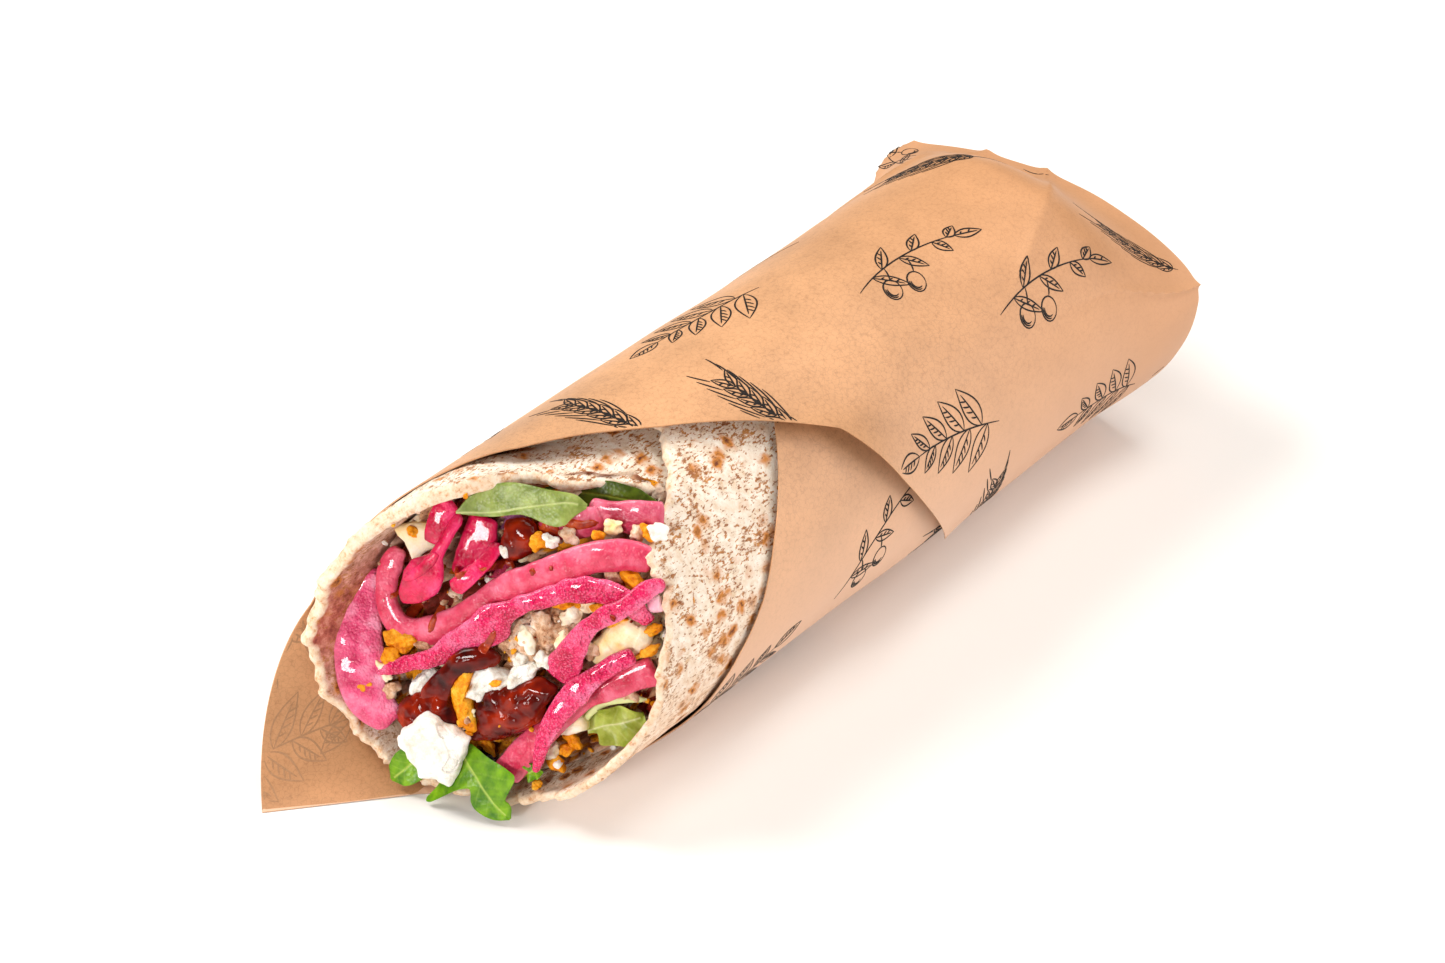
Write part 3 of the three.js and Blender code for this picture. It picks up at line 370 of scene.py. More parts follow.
def piece(name, solid, material, slot, replaces=(), flow=None, marks=None, sharp=40):
    """Makes one finished object from a solid in millimetres. flow is a pair of millimetre coordinates a point for
    the UV map, marks are numbers or colours a point for the material, and sharp is the angle of a sharp edge."""
    points, quads, triangles = faces_out(*solid)
    corners = np.concatenate([quads.ravel(), triangles.ravel()]).astype(np.int32)
    starts = np.concatenate([4 * np.arange(len(quads)), 4 * len(quads) + 3 * np.arange(len(triangles))])
    mesh = bpy.data.meshes.new(name)
    mesh.vertices.add(len(points))
    mesh.vertices.foreach_set("co", ((points - ORIGIN) * MM).astype(np.float32).ravel())
    mesh.loops.add(len(corners))
    mesh.loops.foreach_set("vertex_index", corners)
    mesh.polygons.add(len(starts))
    mesh.polygons.foreach_set("loop_start", starts.astype(np.int32))
    mesh.polygons.foreach_set("use_smooth", np.ones(len(starts), bool))
    mesh.update(calc_edges=True)
    if mesh.validate():
        raise RuntimeError(f"{name} has faces that Blender had to mend")
    mesh.set_sharp_from_angle(angle=sharp * DEG)
    if flow is not None:
        layer = mesh.uv_layers.new(name="flow")
        layer.data.foreach_set("uv", (flow[corners] * MM).astype(np.float32).ravel())
    for mark, values in (marks or {}).items():
        coloured = values.ndim == 2
        attribute = mesh.attributes.new(mark, "FLOAT_COLOR" if coloured else "FLOAT", "POINT")
        if coloured:
            values = np.concatenate([values, np.ones((len(values), 1))], axis=1)
        attribute.data.foreach_set("color" if coloured else "value", values.astype(np.float32).ravel())
    mesh.materials.append(material)
    made = bpy.data.objects.new(name, mesh)
    bpy.context.scene.collection.objects.link(made)
    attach(made, "root")
    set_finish(made, slot)
    if replaces:
        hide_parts(*replaces)
    return made


# ---- Materials ----

# Settings of a Mix node that blends two colours, and of one that multiplies them.
MIXED = {"data_type": "RGBA"}
MULTIPLIED = {"data_type": "RGBA", "blend_type": "MULTIPLY"}


def add_node(tree, kind, inputs=None, ramp=None, out=None, **settings):
    """Adds a node, gives it its settings, and sets or links each of its inputs. A colour may be written as #RRGGBB.
    Returns the output called out, or the first one in use."""
    node = tree.nodes.new("ShaderNode" + kind)
    for key, value in settings.items():
        setattr(node, key, value)
    for key, value in (inputs or {}).items():
        if isinstance(value, bpy.types.NodeSocket):
            tree.links.new(value, node.inputs[key])
        else:
            node.inputs[key].default_value = (*linear(value), 1) if isinstance(value, str) else value
    if ramp:
        stops = node.color_ramp.elements
        while len(stops) < len(ramp):
            stops.new(0.5)
        for stop, (place, colour) in zip(stops, ramp):
            stop.position = place
            stop.color = (*(linear(colour) if isinstance(colour, str) else colour), 1)
    return node.outputs[out] if out else next((socket for socket in node.outputs if socket.enabled), None)


def begin(name):
    """A new node material, what adds nodes to it, and the place on the object in millimetres."""
    material = bpy.data.materials.new(name)
    material.use_nodes = True
    tree = material.node_tree
    tree.nodes.clear()
    place = add_node(tree, "TexCoord", out="Object")
    place = add_node(tree, "VectorMath", {0: place, "Scale": 1 / MM}, operation="SCALE")
    return material, partial(add_node, tree), place


def between(low, high, start=0):
    """Ramp stops from black at low to white at high, or from white to black where start is 1."""
    return [(low, (start,) * 3), (high, (1 - start,) * 3)]


def kraft_paper(settings):
    """Unbleached kraft paper, calendered on one side: matt brown, mottled by its pulp, with short darker fibres
    and a faint tooth that catches a raking light."""
    material, add, place = begin("Kraft paper, unbleached")
    mottle = add("TexNoise", {"Vector": place, "Scale": 0.05, "Detail": 5, "Roughness": 0.6})
    pulp = add("TexNoise", {"Vector": place, "Scale": 0.9, "Detail": 4, "Roughness": 0.7})
    bend = add("VectorMath", {0: place, 1: pulp.node.outputs["Color"]}, operation="ADD")
    fibre = add("TexVoronoi", {"Vector": bend, "Scale": 0.8, "Randomness": 1}, feature="DISTANCE_TO_EDGE")
    fibre = add("ValToRGB", {"Fac": fibre}, ramp=between(0, 0.05))
    warm = tuple(settings.colour)
    light = tuple(min(1, c * 1.14) for c in warm)
    dark = tuple(c * 0.84 for c in warm)
    base = add("ValToRGB", {"Fac": mottle}, ramp=[(0.32, dark), (0.5, warm), (0.68, light)])
    speck = add("ValToRGB", {"Fac": pulp}, ramp=[(0.3, (0.78, 0.74, 0.7)), (0.5, (1, 1, 1)), (0.72, (1, 1, 1))])
    grained = add("Mix", {0: 0.75, 6: base, 7: speck}, **MULTIPLIED)
    strands = add("Mix", {0: 0.2, 6: grained, 7: fibre}, **MULTIPLIED)
    inside = add("Attribute", out="Fac", attribute_name="inside")
    duller = add("Math", {0: inside, 1: 0.8}, operation="MULTIPLY")
    strands = add("Mix", {0: duller, 6: strands, 7: (0.8, 0.72, 0.62, 1)}, **MULTIPLIED)
    # Painted light and shade: on its outer face it is painted paler and pinker downwards, standing for the light on its
    # lower side, and browner towards its folded end, standing for shade there.
    height = add("SeparateXYZ", {"Vector": place})
    low = add("MapRange", {
        "Value": height.node.outputs["Z"], "From Min": 58, "From Max": 24, "To Min": 0, "To Max": 0.85})
    low = add("Math", {0: low, 1: inside}, operation="SUBTRACT", use_clamp=True)
    paled = add("Mix", {0: low, 6: strands, 7: "#E2BA9E"}, **MIXED)
    # Painted shade: browner from X 20 to 105 mm, towards the folded end.
    handled = add("MapRange", {
        "Value": height.node.outputs["X"], "From Min": 20, "From Max": 105, "To Min": 0, "To Max": 0.55})
    paled = add("Mix", {0: handled, 6: paled, 7: "#BC8456"}, **MIXED)
    tooth = add("TexNoise", {"Vector": place, "Scale": 3.5, "Detail": 3})
    bump = add("Bump", {"Height": tooth, "Strength": 0.25, "Distance": 0.00004})
    bump = add("Bump", {"Height": mottle, "Strength": 0.4, "Distance": 0.0006, "Normal": bump})
    shader = add("BsdfPrincipled", {"Base Color": paled, "Roughness": 0.5, "IOR": 1.45, "Normal": bump})
    add("OutputMaterial", {"Surface": shader})
    return material


def printing_ink(settings, name, strength):
    """Water-based flexographic ink: near black and matt, a little broken where the paper's tooth took less, and
    weaker where it only shows through from the sheet's other side."""
    material, add, place = begin(name)
    worn = add("TexNoise", {"Vector": place, "Scale": 2.2, "Detail": 3})
    ink = tuple(c * strength + k * (1 - strength) for c, k in zip(settings.ink, settings.colour))
    tone = add("ValToRGB", {"Fac": worn}, ramp=[(0.35, ink), (0.75, tuple(c * 1.2 + 0.01 for c in ink))])
    shader = add("BsdfPrincipled", {"Base Color": tone, "Roughness": 0.6, "Specular IOR Level": 0.2})
    add("OutputMaterial", {"Surface": shader})
    return material


def griddled_flatbread(settings):
    """Soft wholemeal flatbread baked on a griddle: pale and floury, with short brown bran flecks that lie along
    the sheet, toasted spots where it blistered, and a moist red-brown stain inside from the pickle."""
    material, add, place = begin("Wholemeal flatbread, griddled")
    flow = add("UVMap", uv_map="flow")
    along = add("VectorMath", {0: flow, 1: (1000, 480, 1000)}, operation="MULTIPLY")
    even = add("VectorMath", {0: flow, "Scale": 1000}, operation="SCALE")
    stain, rim, blush = (add("Attribute", out="Fac", attribute_name=mark) for mark in ("stain", "rim", "blush"))
    cloud = add("TexNoise", {"Vector": even, "Scale": 0.4, "Detail": 5, "Roughness": 0.65})
    pale, pink, soaked = (add("ValToRGB", {"Fac": cloud}, ramp=stops) for stops in (
        [(0.3, "#D8B892"), (0.45, tuple(settings.colour)), (0.64, "#F8F0E4")],
        [(0.3, "#DEA67A"), (0.46, "#F0CBAA"), (0.66, "#FBE6D2")],
        [(0.34, "#8A3A30"), (0.5, "#BC6450"), (0.68, "#E2A08C")]))
    # Painted shade: the pink ramp is mixed in low on the outer face as warm shade, and at half strength on the inner
    # face's lower half.
    base = add("Mix", {0: blush, 6: pale, 7: pink}, **MIXED)
    base = add("Mix", {0: stain, 6: base, 7: soaked}, **MIXED)

    # Toasted spots, 2 to 4 mm across: an orange-brown ring with a dark brown middle, on about three in five of the
    # cells of 4.4 mm that the sheet is divided into.
    wobble = add("TexNoise", {"Vector": even, "Scale": 0.5, "Detail": 3})
    spread = add("VectorMath", {0: wobble.node.outputs["Color"], 1: (3.4, 3.4, 0), 2: even}, operation="MULTIPLY_ADD")
    spots = add("TexVoronoi", {"Vector": spread, "Scale": 0.23, "Randomness": 1})
    chosen = add("SeparateColor", {"Color": spots.node.outputs["Color"]})
    chosen = add("ValToRGB", {"Fac": chosen}, ramp=between(0.32, 0.48))
    for full, none, brown in ((0.2, 0.44, "#CE8234"), (0.08, 0.19, "#66290C")):
        spot = add("ValToRGB", {"Fac": spots}, ramp=between(full, none, start=1))
        spot = add("Mix", {0: 1, 6: spot, 7: chosen}, **MULTIPLIED)
        base = add("Mix", {0: spot, 6: base, 7: brown}, **MIXED)

    # Bran: flecks about 0.3 by 0.8 mm, and broader paler ones, that come thicker in some places than in others,
    # thinner on the torn rim and fainter where the pink shade is painted.
    patches = add("TexNoise", {"Vector": even, "Scale": 0.14, "Detail": 2})
    level = add("Math", {0: patches, 1: 0.4, 2: -0.2}, operation="MULTIPLY_ADD")
    masks = []
    for scale, detail, rough, low, high in ((1.7, 2, 0.6, 0.55, 0.62), (0.75, 4, 0.7, 0.575, 0.66)):
        flecks = add("TexNoise", {"Vector": along, "Scale": scale, "Detail": detail, "Roughness": rough})
        flecks = add("Math", {0: level, 1: flecks}, operation="ADD")
        masks.append(add("ValToRGB", {"Fac": flecks}, ramp=between(low, high)))
    marks = add("Math", {0: masks[0], 1: masks[1]}, operation="MAXIMUM")
    for mask, most, least in ((rim, 0.95, 0.3), (blush, 1, 0.5)):
        fewer = add("MapRange", {"Value": mask, "To Min": most, "To Max": least})
        marks = add("Math", {0: marks, 1: fewer}, operation="MULTIPLY")
    bran = add("ValToRGB", {"Fac": cloud}, ramp=[(0.4, "#8A4810"), (0.62, tuple(settings.bran))])
    flecked = add("Mix", {0: marks, 6: base, 7: bran}, **MIXED)
    torn = add("TexNoise", {"Vector": place, "Scale": 0.7, "Detail": 5, "Roughness": 0.7})
    torn = add("ValToRGB", {"Fac": torn}, ramp=[
        (0.33, "#CC8A52"), (0.44, "#EBC9A4"), (0.55, "#F3DCC2"), (0.7, "#F8E9D6")])
    edge = add("Math", {0: rim, 1: 0.85}, operation="MULTIPLY")
    finished = add("Mix", {0: edge, 6: flecked, 7: torn}, **MIXED)
    fine = add("TexNoise", {"Vector": place, "Scale": 1.3, "Detail": 6, "Roughness": 0.7})
    bump = add("Bump", {"Height": fine, "Strength": 0.7, "Distance": 0.0005})
    shader = add("BsdfPrincipled", {
        "Base Color": finished, "Roughness": 0.72, "Subsurface Weight": 0.1,
        "Subsurface Radius": (1, 0.7, 0.5), "Subsurface Scale": 0.001, "Normal": bump})
    add("OutputMaterial", {"Surface": shader})
    return material


def crumbly_filling():
    """Broken falafel with egg and sauce among it: coarse and dry, each crumb its own colour, moist where the
    sauce has soaked in, so its gloss comes and goes."""
    material, add, place = begin("Falafel crumb, fried")
    crumb = add("Attribute", out="Color", attribute_name="crumb")
    grain = add("TexNoise", {"Vector": place, "Scale": 2, "Detail": 5, "Roughness": 0.7})
    tone = add("ValToRGB", {"Fac": grain}, ramp=[(0.3, (0.55, 0.46, 0.4)), (0.5, (0.95, 0.93, 0.9)), (0.7, (1, 1, 1))])
    base = add("Mix", {0: 0.7, 6: crumb, 7: tone}, **MULTIPLIED)
    spice = add("TexVoronoi", {"Vector": place, "Scale": 0.9})
    spice = add("ValToRGB", {"Fac": spice}, ramp=between(0.1, 0.17, start=1))
    spiced = add("Mix", {0: spice, 6: base, 7: "#8C4A1E"}, **MIXED)
    wet = add("TexNoise", {"Vector": place, "Scale": 0.35, "Detail": 2})
    gloss = add("MapRange", {"Value": wet, "From Min": 0.4, "From Max": 0.62, "To Min": 0.3, "To Max": 0.75})
    bump = add("Bump", {"Height": grain, "Strength": 0.7, "Distance": 0.0005})
    shader = add("BsdfPrincipled", {
        "Base Color": spiced, "Roughness": gloss, "Specular IOR Level": 0.18,
        "Subsurface Weight": 0.1, "Subsurface Radius": (1, 0.6, 0.3), "Subsurface Scale": 0.0012, "Normal": bump})
    add("OutputMaterial", {"Surface": shader})
    return material


def pickled_onion(name, deep, flesh, pale, skin_grain):
    """Red onion pickled in vinegar: wet and translucent, deep pink where the skin side dyed it and paler along
    its cut edges, faintly lined across its rings, and pebbled by its skin's cells where skin_grain is high. It is
    painted darker towards one long edge and lighter towards the other as shade, and the pebbles' tops are painted
    paler as highlights."""
    material, add, place = begin(name)
    edge = add("Attribute", out="Fac", attribute_name="edge")
    flow = add("UVMap", uv_map="flow")
    run = add("VectorMath", {0: flow, 1: (900, 130, 1)}, operation="MULTIPLY")
    lines = add("TexNoise", {"Vector": run, "Scale": 0.55, "Detail": 3})
    blush = add("TexNoise", {"Vector": place, "Scale": 0.22, "Detail": 3})
    side = add("Attribute", out="Fac", attribute_name="side")
    level = add("Math", {0: lines, 1: 0.22, 2: 0}, operation="MULTIPLY_ADD")
    level = add("Math", {0: blush, 1: 0.78, 2: level}, operation="MULTIPLY_ADD")
    # Painted shade: the side mark, from -1 to 1 across the strip, makes one long edge lighter and the other darker.
    level = add("Math", {0: side, 1: 0.07, 2: level}, operation="MULTIPLY_ADD")
    base = add("ValToRGB", {"Fac": level}, ramp=[(0.33, deep), (0.5, flesh), (0.72, pale)])
    rims = add("Math", {0: edge, 1: 0.35}, operation="MULTIPLY")
    paled = add("Mix", {0: rims, 6: base, 7: pale}, **MIXED)
    cells = add("TexVoronoi", {"Vector": place, "Scale": 1.9, "Smoothness": 0.3}, feature="SMOOTH_F1")
    dome = add("Math", {0: cells, 1: 2}, operation="POWER")
    # Painted highlights: the tops of the pebbles are painted paler.
    tops = add("MapRange", {"Value": dome, "From Min": 0, "From Max": 0.22, "To Min": 0.55 * skin_grain, "To Max": 0})
    lit = add("Mix", {0: tops, 6: paled, 7: pale}, **MIXED)
    ripple = add("TexNoise", {"Vector": place, "Scale": 0.6, "Detail": 4})
    bump = add("Bump", {"Height": dome, "Strength": skin_grain, "Distance": 0.0009}, invert=True)
    bump = add("Bump", {"Height": ripple, "Strength": 0.5, "Distance": 0.0014, "Normal": bump})
    shader = add("BsdfPrincipled", {
        "Base Color": lit, "Roughness": 0.2, "Specular IOR Level": 0.25, "Subsurface Weight": 0.12,
        "Subsurface Radius": (1, 0.22, 0.35), "Subsurface Scale": 0.0014, "Coat Weight": 0.45,
        "Coat Roughness": 0.05, "Normal": bump})
    add("OutputMaterial", {"Surface": shader})
    return material


def fresh_leaf(name, deep, face, vein):
    """A fresh salad leaf: waxy, brighter between its veins, with pale veins let into its face."""
    material, add, place = begin(name)
    lines = add("Attribute", out="Fac", attribute_name="vein")
    patches = add("TexNoise", {"Vector": place, "Scale": 0.35, "Detail": 4})
    base = add("ValToRGB", {"Fac": patches}, ramp=[(0.35, deep), (0.65, face)])
    veined = add("Mix", {0: lines, 6: base, 7: vein}, **MIXED)
    cells = add("TexVoronoi", {"Vector": place, "Scale": 1.4})
    bump = add("Bump", {"Height": cells, "Strength": 0.25, "Distance": 0.0003})
    shader = add("BsdfPrincipled", {
        "Base Color": veined, "Roughness": 0.36, "Specular IOR Level": 0.3, "Subsurface Weight": 0.15,
        "Subsurface Radius": (0.4, 1, 0.2), "Subsurface Scale": 0.001, "Normal": bump})
    add("OutputMaterial", {"Surface": shader})
    return material


def soft_solid(name, dark, middle, light, grain_mm, relief, roughness, weight, coat=0, specular=0.22, detail=5):
    """A crumbly or smooth bit of food in three close tones that follow its grain, softened by light that
    passes into it."""
    material, add, place = begin(name)
    grain = add("TexNoise", {"Vector": place, "Scale": 1 / grain_mm, "Detail": detail, "Roughness": 0.65})
    broad = add("TexNoise", {"Vector": place, "Scale": 0.3 / grain_mm, "Detail": 2})
    level = add("Math", {0: grain, 1: broad}, operation="ADD")
    level = add("Math", {0: level, 1: 0.5}, operation="MULTIPLY")
    base = add("ValToRGB", {"Fac": level}, ramp=[(0.36, dark), (0.5, middle), (0.64, light)])
    bump = add("Bump", {"Height": grain, "Strength": 0.8, "Distance": relief * MM})
    shader = add("BsdfPrincipled", {
        "Base Color": base, "Roughness": roughness, "Specular IOR Level": specular,
        "Subsurface Weight": weight, "Subsurface Radius": (1, 0.8, 0.6), "Subsurface Scale": 0.0015,
        "Coat Weight": coat, "Coat Roughness": 0.06, "Normal": bump})
    add("OutputMaterial", {"Surface": shader})
    return material


def feta_cheese():
    """Feta: white brine cheese, broken rather than cut, so it is chalky with a fine crumb."""
    return soft_solid("Feta cheese", "#E4D8C6", "#F8F4EC", "#FDFBF7", 1.2, 0.7, 0.5, 0.1)


def chilli_sauce():
    """A cooked chilli and tomato sauce, set with starch: dark red-brown, thick and very glossy."""
    return soft_solid("Chilli sauce, cooked", "#340301", "#660D02", "#9C2606", 3.2, 1.3, 0.1, 0.02, coat=0.32,
                      specular=0.1, detail=1)


def sauce_film():
    """The same sauce where it lies thin: lighter and more orange, since what is under it shows through."""
    return soft_solid("Chilli sauce, thin film", "#7A1808", "#A8300E", "#CC5A28", 1.2, 0.2, 0.15, 0.1, coat=0.3)


def fried_crust():
    """Fried crumb crust: golden orange with darker toasted grains and a little oil on it."""
    return soft_solid("Crumb crust, fried", "#D26C00", "#F8A010", "#FFC846", 1, 0.7, 0.34, 0.05)


def boiled_egg():
    """Boiled egg: smooth and cream-coloured, yellow where its yolk shows."""
    return soft_solid("Boiled egg", "#F2D080", "#F8E8C2", "#FCF5E4", 3.4, 0.5, 0.3, 0.12)


def falafel_inside():
    """The inside of a falafel: beige-pink ground chickpeas, coarse and damp."""
    return soft_solid("Falafel, broken open", "#A4643C", "#E2B692", "#FBE9D6", 1.1, 0.9, 0.5, 0.04)


def black_olive():
    """A black olive: purple-black skin, wet from its brine."""
    return soft_solid("Black olive, brined", "#160A10", "#2B1520", "#4A2735", 2.5, 0.15, 0.14, 0.1, coat=0.6)


# ---- The paper ----

def paper_layer(turn):
    """How far outwards the sheet lies at a turn: 0, sinking by one step inside its own outer end."""
    return -PAPER_STEP * smooth_step(120, 235, turn)


def paper_point(x, turn, out):
    """A point of the roll: a circle about the roll's middle, whose upper half is pressed down, widened and moved
    over towards the folded end, and whose front corner is laid flat. out is from the outer layer outwards."""
    flat = smooth_step(FOLD_START, ROLL_END, x)
    radius = ROLL_RADIUS + out
    sine, cosine = np.sin(turn * DEG), np.cos(turn * DEG)
    y = FOLD_SHIFT * flat + (radius + FOLD_WIDEN * flat) * sine
    z = ROLL_MIDDLE + radius * cosine + flat * (FOLD_EARS * sine**4 - FOLD_DROP * np.maximum(0, cosine))
    loose = CORNER_UNROLL * np.maximum(0, UNROLL_END - x) / (UNROLL_END - CORNER_X)
    arc = ROLL_RADIUS * (180 - turn) * DEG
    bend = np.maximum(0, arc - loose) / ROLL_RADIUS
    open_part = (loose > 0) & (turn > 60) & (turn < 240)
    y = np.where(open_part, np.minimum(arc, loose) + radius * np.sin(bend), y)
    z = np.where(open_part, ROLL_MIDDLE - radius * np.cos(bend), z)
    slant = FOLD_SLANT * flat * (1 - cosine) / 2
    return np.stack([x - slant, y, z], axis=-1)


def paper_dents(arc, x, depth):
    """Soft dents of two sizes, drawn out along the roll, with a few straight fold lines near the folded end."""
    spread = laid_flat(arc, x * 0.55)
    soft = smooth_noise(spread, 17, 3) + 0.5 * smooth_noise(spread + 40, 7.5, 4)
    folds = 0
    for at_arc, at_x, slope, wide in CREASES:
        away = (arc - at_arc - slope * (x - at_x)) / math.hypot(1, slope)
        near = smooth_step(-34, 0, x - at_x) * np.exp(-(away / wide) ** 2 / 2)
        folds = folds + near * np.exp(-np.abs(away) / 1.5)
    back = smooth_step(150, 200, x)
    return depth * (0.55 + 0.5 * soft + (0.9 + 1.2 * back) * folds)


def paper_surface(arc, x, settings, sink=0.0):
    """The sheet's outer face, sink millimetres in, over a place on the flat sheet: the roll with its dents, and with
    the free edge lifted by an amount that falls off exponentially behind it, kept on the floor."""
    turn = 180 - arc / ROLL_RADIUS / DEG
    edge = read_off(PAPER_EDGE, arc)
    free = 1 - smooth_step(-30, 0, turn)
    gape = FLAP_GAPE * np.exp(-((turn + 52) / 20) ** 2)
    lift = (FLAP_LIFT + gape) * free * np.exp(-(x - edge) / FLAP_REACH)
    rolled = smooth_step(UNROLL_END - 14, UNROLL_END + 6, x)
    dents = paper_dents(arc, x, settings.dents / MM) * rolled * smooth_step(0, 8, np.abs(turn - 180) - 12)
    point = paper_point(x, turn, paper_layer(turn) + lift + dents + PAPER_FACE - sink)
    point[..., 2] = np.maximum(point[..., 2], settings.thickness / MM - sink)
    return point


class WRAP_OT_paper(bpy.types.Operator):
    """Makes the kraft sheet wound round the roll, and the panel that closes its folded end"""
    bl_idname = "wrap.paper"
    bl_label = "Kraft paper"

    def execute(self, context):
        settings = context.scene.wrap_paper
        thick = settings.thickness / MM
        first, last = PAPER_SIDES
        arcs = np.concatenate([np.linspace(last, CORNER_ARC, 196)[:-1], np.linspace(CORNER_ARC, first, 170)])
        shares = np.linspace(0, 1, 112) ** 1.12
        edge = read_off(PAPER_EDGE, arcs)
        x = edge + (ROLL_END - edge) * shares[:, None]
        arc = np.broadcast_to(arcs, x.shape)
        solid = closed_sheet(paper_surface(arc, x, settings), paper_surface(arc, x, settings, thick))
        flow = np.tile(np.stack([arc, x], axis=-1).reshape(-1, 2), (2, 1))
        kraft = kraft_paper(settings)
        marks = {"inside": np.repeat([0.0, 1.0], x.size)}
        piece("kraft_sheet", solid, kraft, "kraft_paper", ["paper_wrapper"], flow, marks)

        # The panel's rings run from the folded edge to its middle; each point goes a share of its way there.
        turns = np.linspace(-125, 235, 240, endpoint=False)
        outline = paper_point(np.full(240, ROLL_END - 0.4), turns, PAPER_FACE - 0.1)
        outline[:, 2] = np.maximum(outline[:, 2], thick)
        shares = np.concatenate([np.linspace(0, 0.9, 30), [0.96]])[:, None]
        middle = np.array([0, FOLD_SHIFT, PANEL_Z])
        toward = outline[None, :, 1:] * (1 - shares[..., None]) + middle[1:] * shares[..., None]
        push = np.interp(shares, [0, 0.15, 0.5, 0.85, 1], [0, 0.6, 2.2, 3, 3])
        push = push + 0.15 * FOLD_SLANT * shares * (PANEL_Z - toward[..., 1]) / PANEL_Z
        across, up = toward[..., 0] - FOLD_SHIFT, toward[..., 1] - PANEL_Z
        side_fold = smooth_step(-0.6, 0.6, np.abs(across) * 0.62 - np.abs(up) - 3)
        foot_fold = smooth_step(-0.5, 0.5, -up - 0.62 * np.abs(across) + 2) * 0.7
        relief = 0.7 * (side_fold + foot_fold) * smooth_step(0, 0.12, shares)
        dents = 0.4 * smooth_noise(laid_flat(across, up), 8, 9) * smooth_step(0, 0.2, shares)
        shift = outline[None, :, 0] - push + relief + dents
        rings = np.concatenate([shift[..., None], toward], axis=-1)
        back = rings - np.array([thick, 0, 0])
        solid = closed_loft(np.concatenate([rings[::-1], back]))
        marks = {"inside": np.zeros(len(solid[0]))}
        piece("kraft_end_panel", solid, kraft, "kraft_paper", ["paper_wrapper"], solid[0][:, 1:], marks)
        return {"FINISHED"}


# ---- The print: sprigs drawn in ink, as thin strokes that lie on the sheet ----

def curve_stroke(start, angle, length, bend, count=9):
    """A line that starts at an angle and turns by bend degrees over its length."""
    turned = (angle + bend * np.linspace(0, 1, count)) * DEG
    step = length / (count - 1)
    middle = (turned[:-1] + turned[1:]) / 2
    path = np.concatenate([[[0, 0]], np.cumsum(np.stack([np.cos(middle), np.sin(middle)], axis=1) * step, axis=0)])
    return np.asarray(start) + path


def leaf_strokes(start, angle, length, wide, hatch=4):
    """A leaf in outline: two arcs that meet at its tip, its midrib, and short hatch lines on one half."""
    t = np.linspace(0, 1, 13)
    half = wide / 2 * np.sin(np.pi * t ** 0.8)
    along = np.array([math.cos(angle * DEG), math.sin(angle * DEG)])
    side = np.array([-along[1], along[0]])
    rib = np.asarray(start) + length * t[:, None] * along
    strokes = [rib + half[:, None] * side, rib - half[:, None] * side, rib[:11]]
    for i in range(hatch):
        share = 0.22 + 0.58 * i / hatch
        foot = np.asarray(start) + length * share * along
        reach = wide / 2 * math.sin(math.pi * share ** 0.8) * 0.8
        strokes.append(curve_stroke(foot, angle + 55, reach * 1.2, -18, 5))
    return strokes


def herb_sprig():
    """An upright sprig: a bent stalk with pairs of toothed leaves that get smaller, and one at its tip."""
    stalk = curve_stroke((0, -15), 84, 27, 18, 15)
    strokes = [stalk]
    for i, (at, size) in enumerate([(3, 11), (6, 10), (9, 8.5), (12, 6.5)]):
        for way in (-1, 1):
            strokes += leaf_strokes(stalk[at - (way > 0)], 90 + way * (58 - 5 * i) + 4, size, size * 0.42)
    return strokes + leaf_strokes(stalk[-1], 100, 8, 3.6)


def olive_branch():
    """A bent twig with slim leaves on both sides, and two round fruits with arcs of shading."""
    twig = curve_stroke((-12, -9), 52, 31, -38, 17)
    strokes = [twig]
    for i, at in enumerate([3, 5, 8, 10, 13, 15]):
        way = 1 if i % 2 else -1
        strokes += leaf_strokes(twig[at], 40 + way * 46 - 2 * at, 9.5 - 0.35 * at, 2.6, hatch=3)
    strokes += leaf_strokes(twig[-1], 14, 7, 2.4, hatch=2)
    for centre in ((-4.5, -8), (1.5, -5.5)):
        round_line = np.linspace(0, 2 * np.pi, 19)
        oval = np.stack([2.1 * np.cos(round_line), 2.7 * np.sin(round_line)], axis=1)
        strokes += [centre + oval, centre + 0.62 * oval[9:17], centre + 0.8 * oval[9:16]]
        strokes.append(curve_stroke(np.array(centre) + (0, 2.7), 80, 3.5, 30, 5))
    return strokes


def wheat_ear():
    """An ear of wheat: a long straw, two rows of pointed grains, and an awn from each grain."""
    straw = curve_stroke((4, -16), 104, 30, -16, 19)
    strokes = [straw]
    for i, at in enumerate(range(8, 19, 2)):
        for way in (-1, 1):
            strokes += leaf_strokes(straw[at], 96 + way * 26 - i, 5.2, 2.1, hatch=2)
            tip = straw[at] + 5.2 * np.array([math.cos((96 + way * 26) * DEG), math.sin((96 + way * 26) * DEG)])
            strokes.append(curve_stroke(tip, 96 + way * 20, 8 - 0.6 * i, -way * 12, 7))
    return strokes


def ink_ribbon(line, wide, settings, side):
    """One stroke as a thin closed ribbon: its line on the flat sheet moved half its width to both sides, thinner
    towards both ends, laid on the paper's face (side 1) or on its back (side -1)."""
    slope = np.gradient(line, axis=0)
    slope /= np.maximum(np.linalg.norm(slope, axis=1, keepdims=True), 1e-9)
    t = np.linspace(0, 1, len(line))
    half = wide / 2 * (0.35 + 0.65 * np.sin(np.pi * t) ** 0.5)
    normal = np.stack([-slope[:, 1], slope[:, 0]], axis=1) * half[:, None]
    pair = np.stack([line + normal, line - normal])
    thick = settings.thickness / MM
    sinks = (-0.05, 0.02) if side > 0 else (thick - 0.02, thick + 0.05)
    return closed_sheet(*(paper_surface(pair[..., 0], pair[..., 1], settings, sink) for sink in sinks))


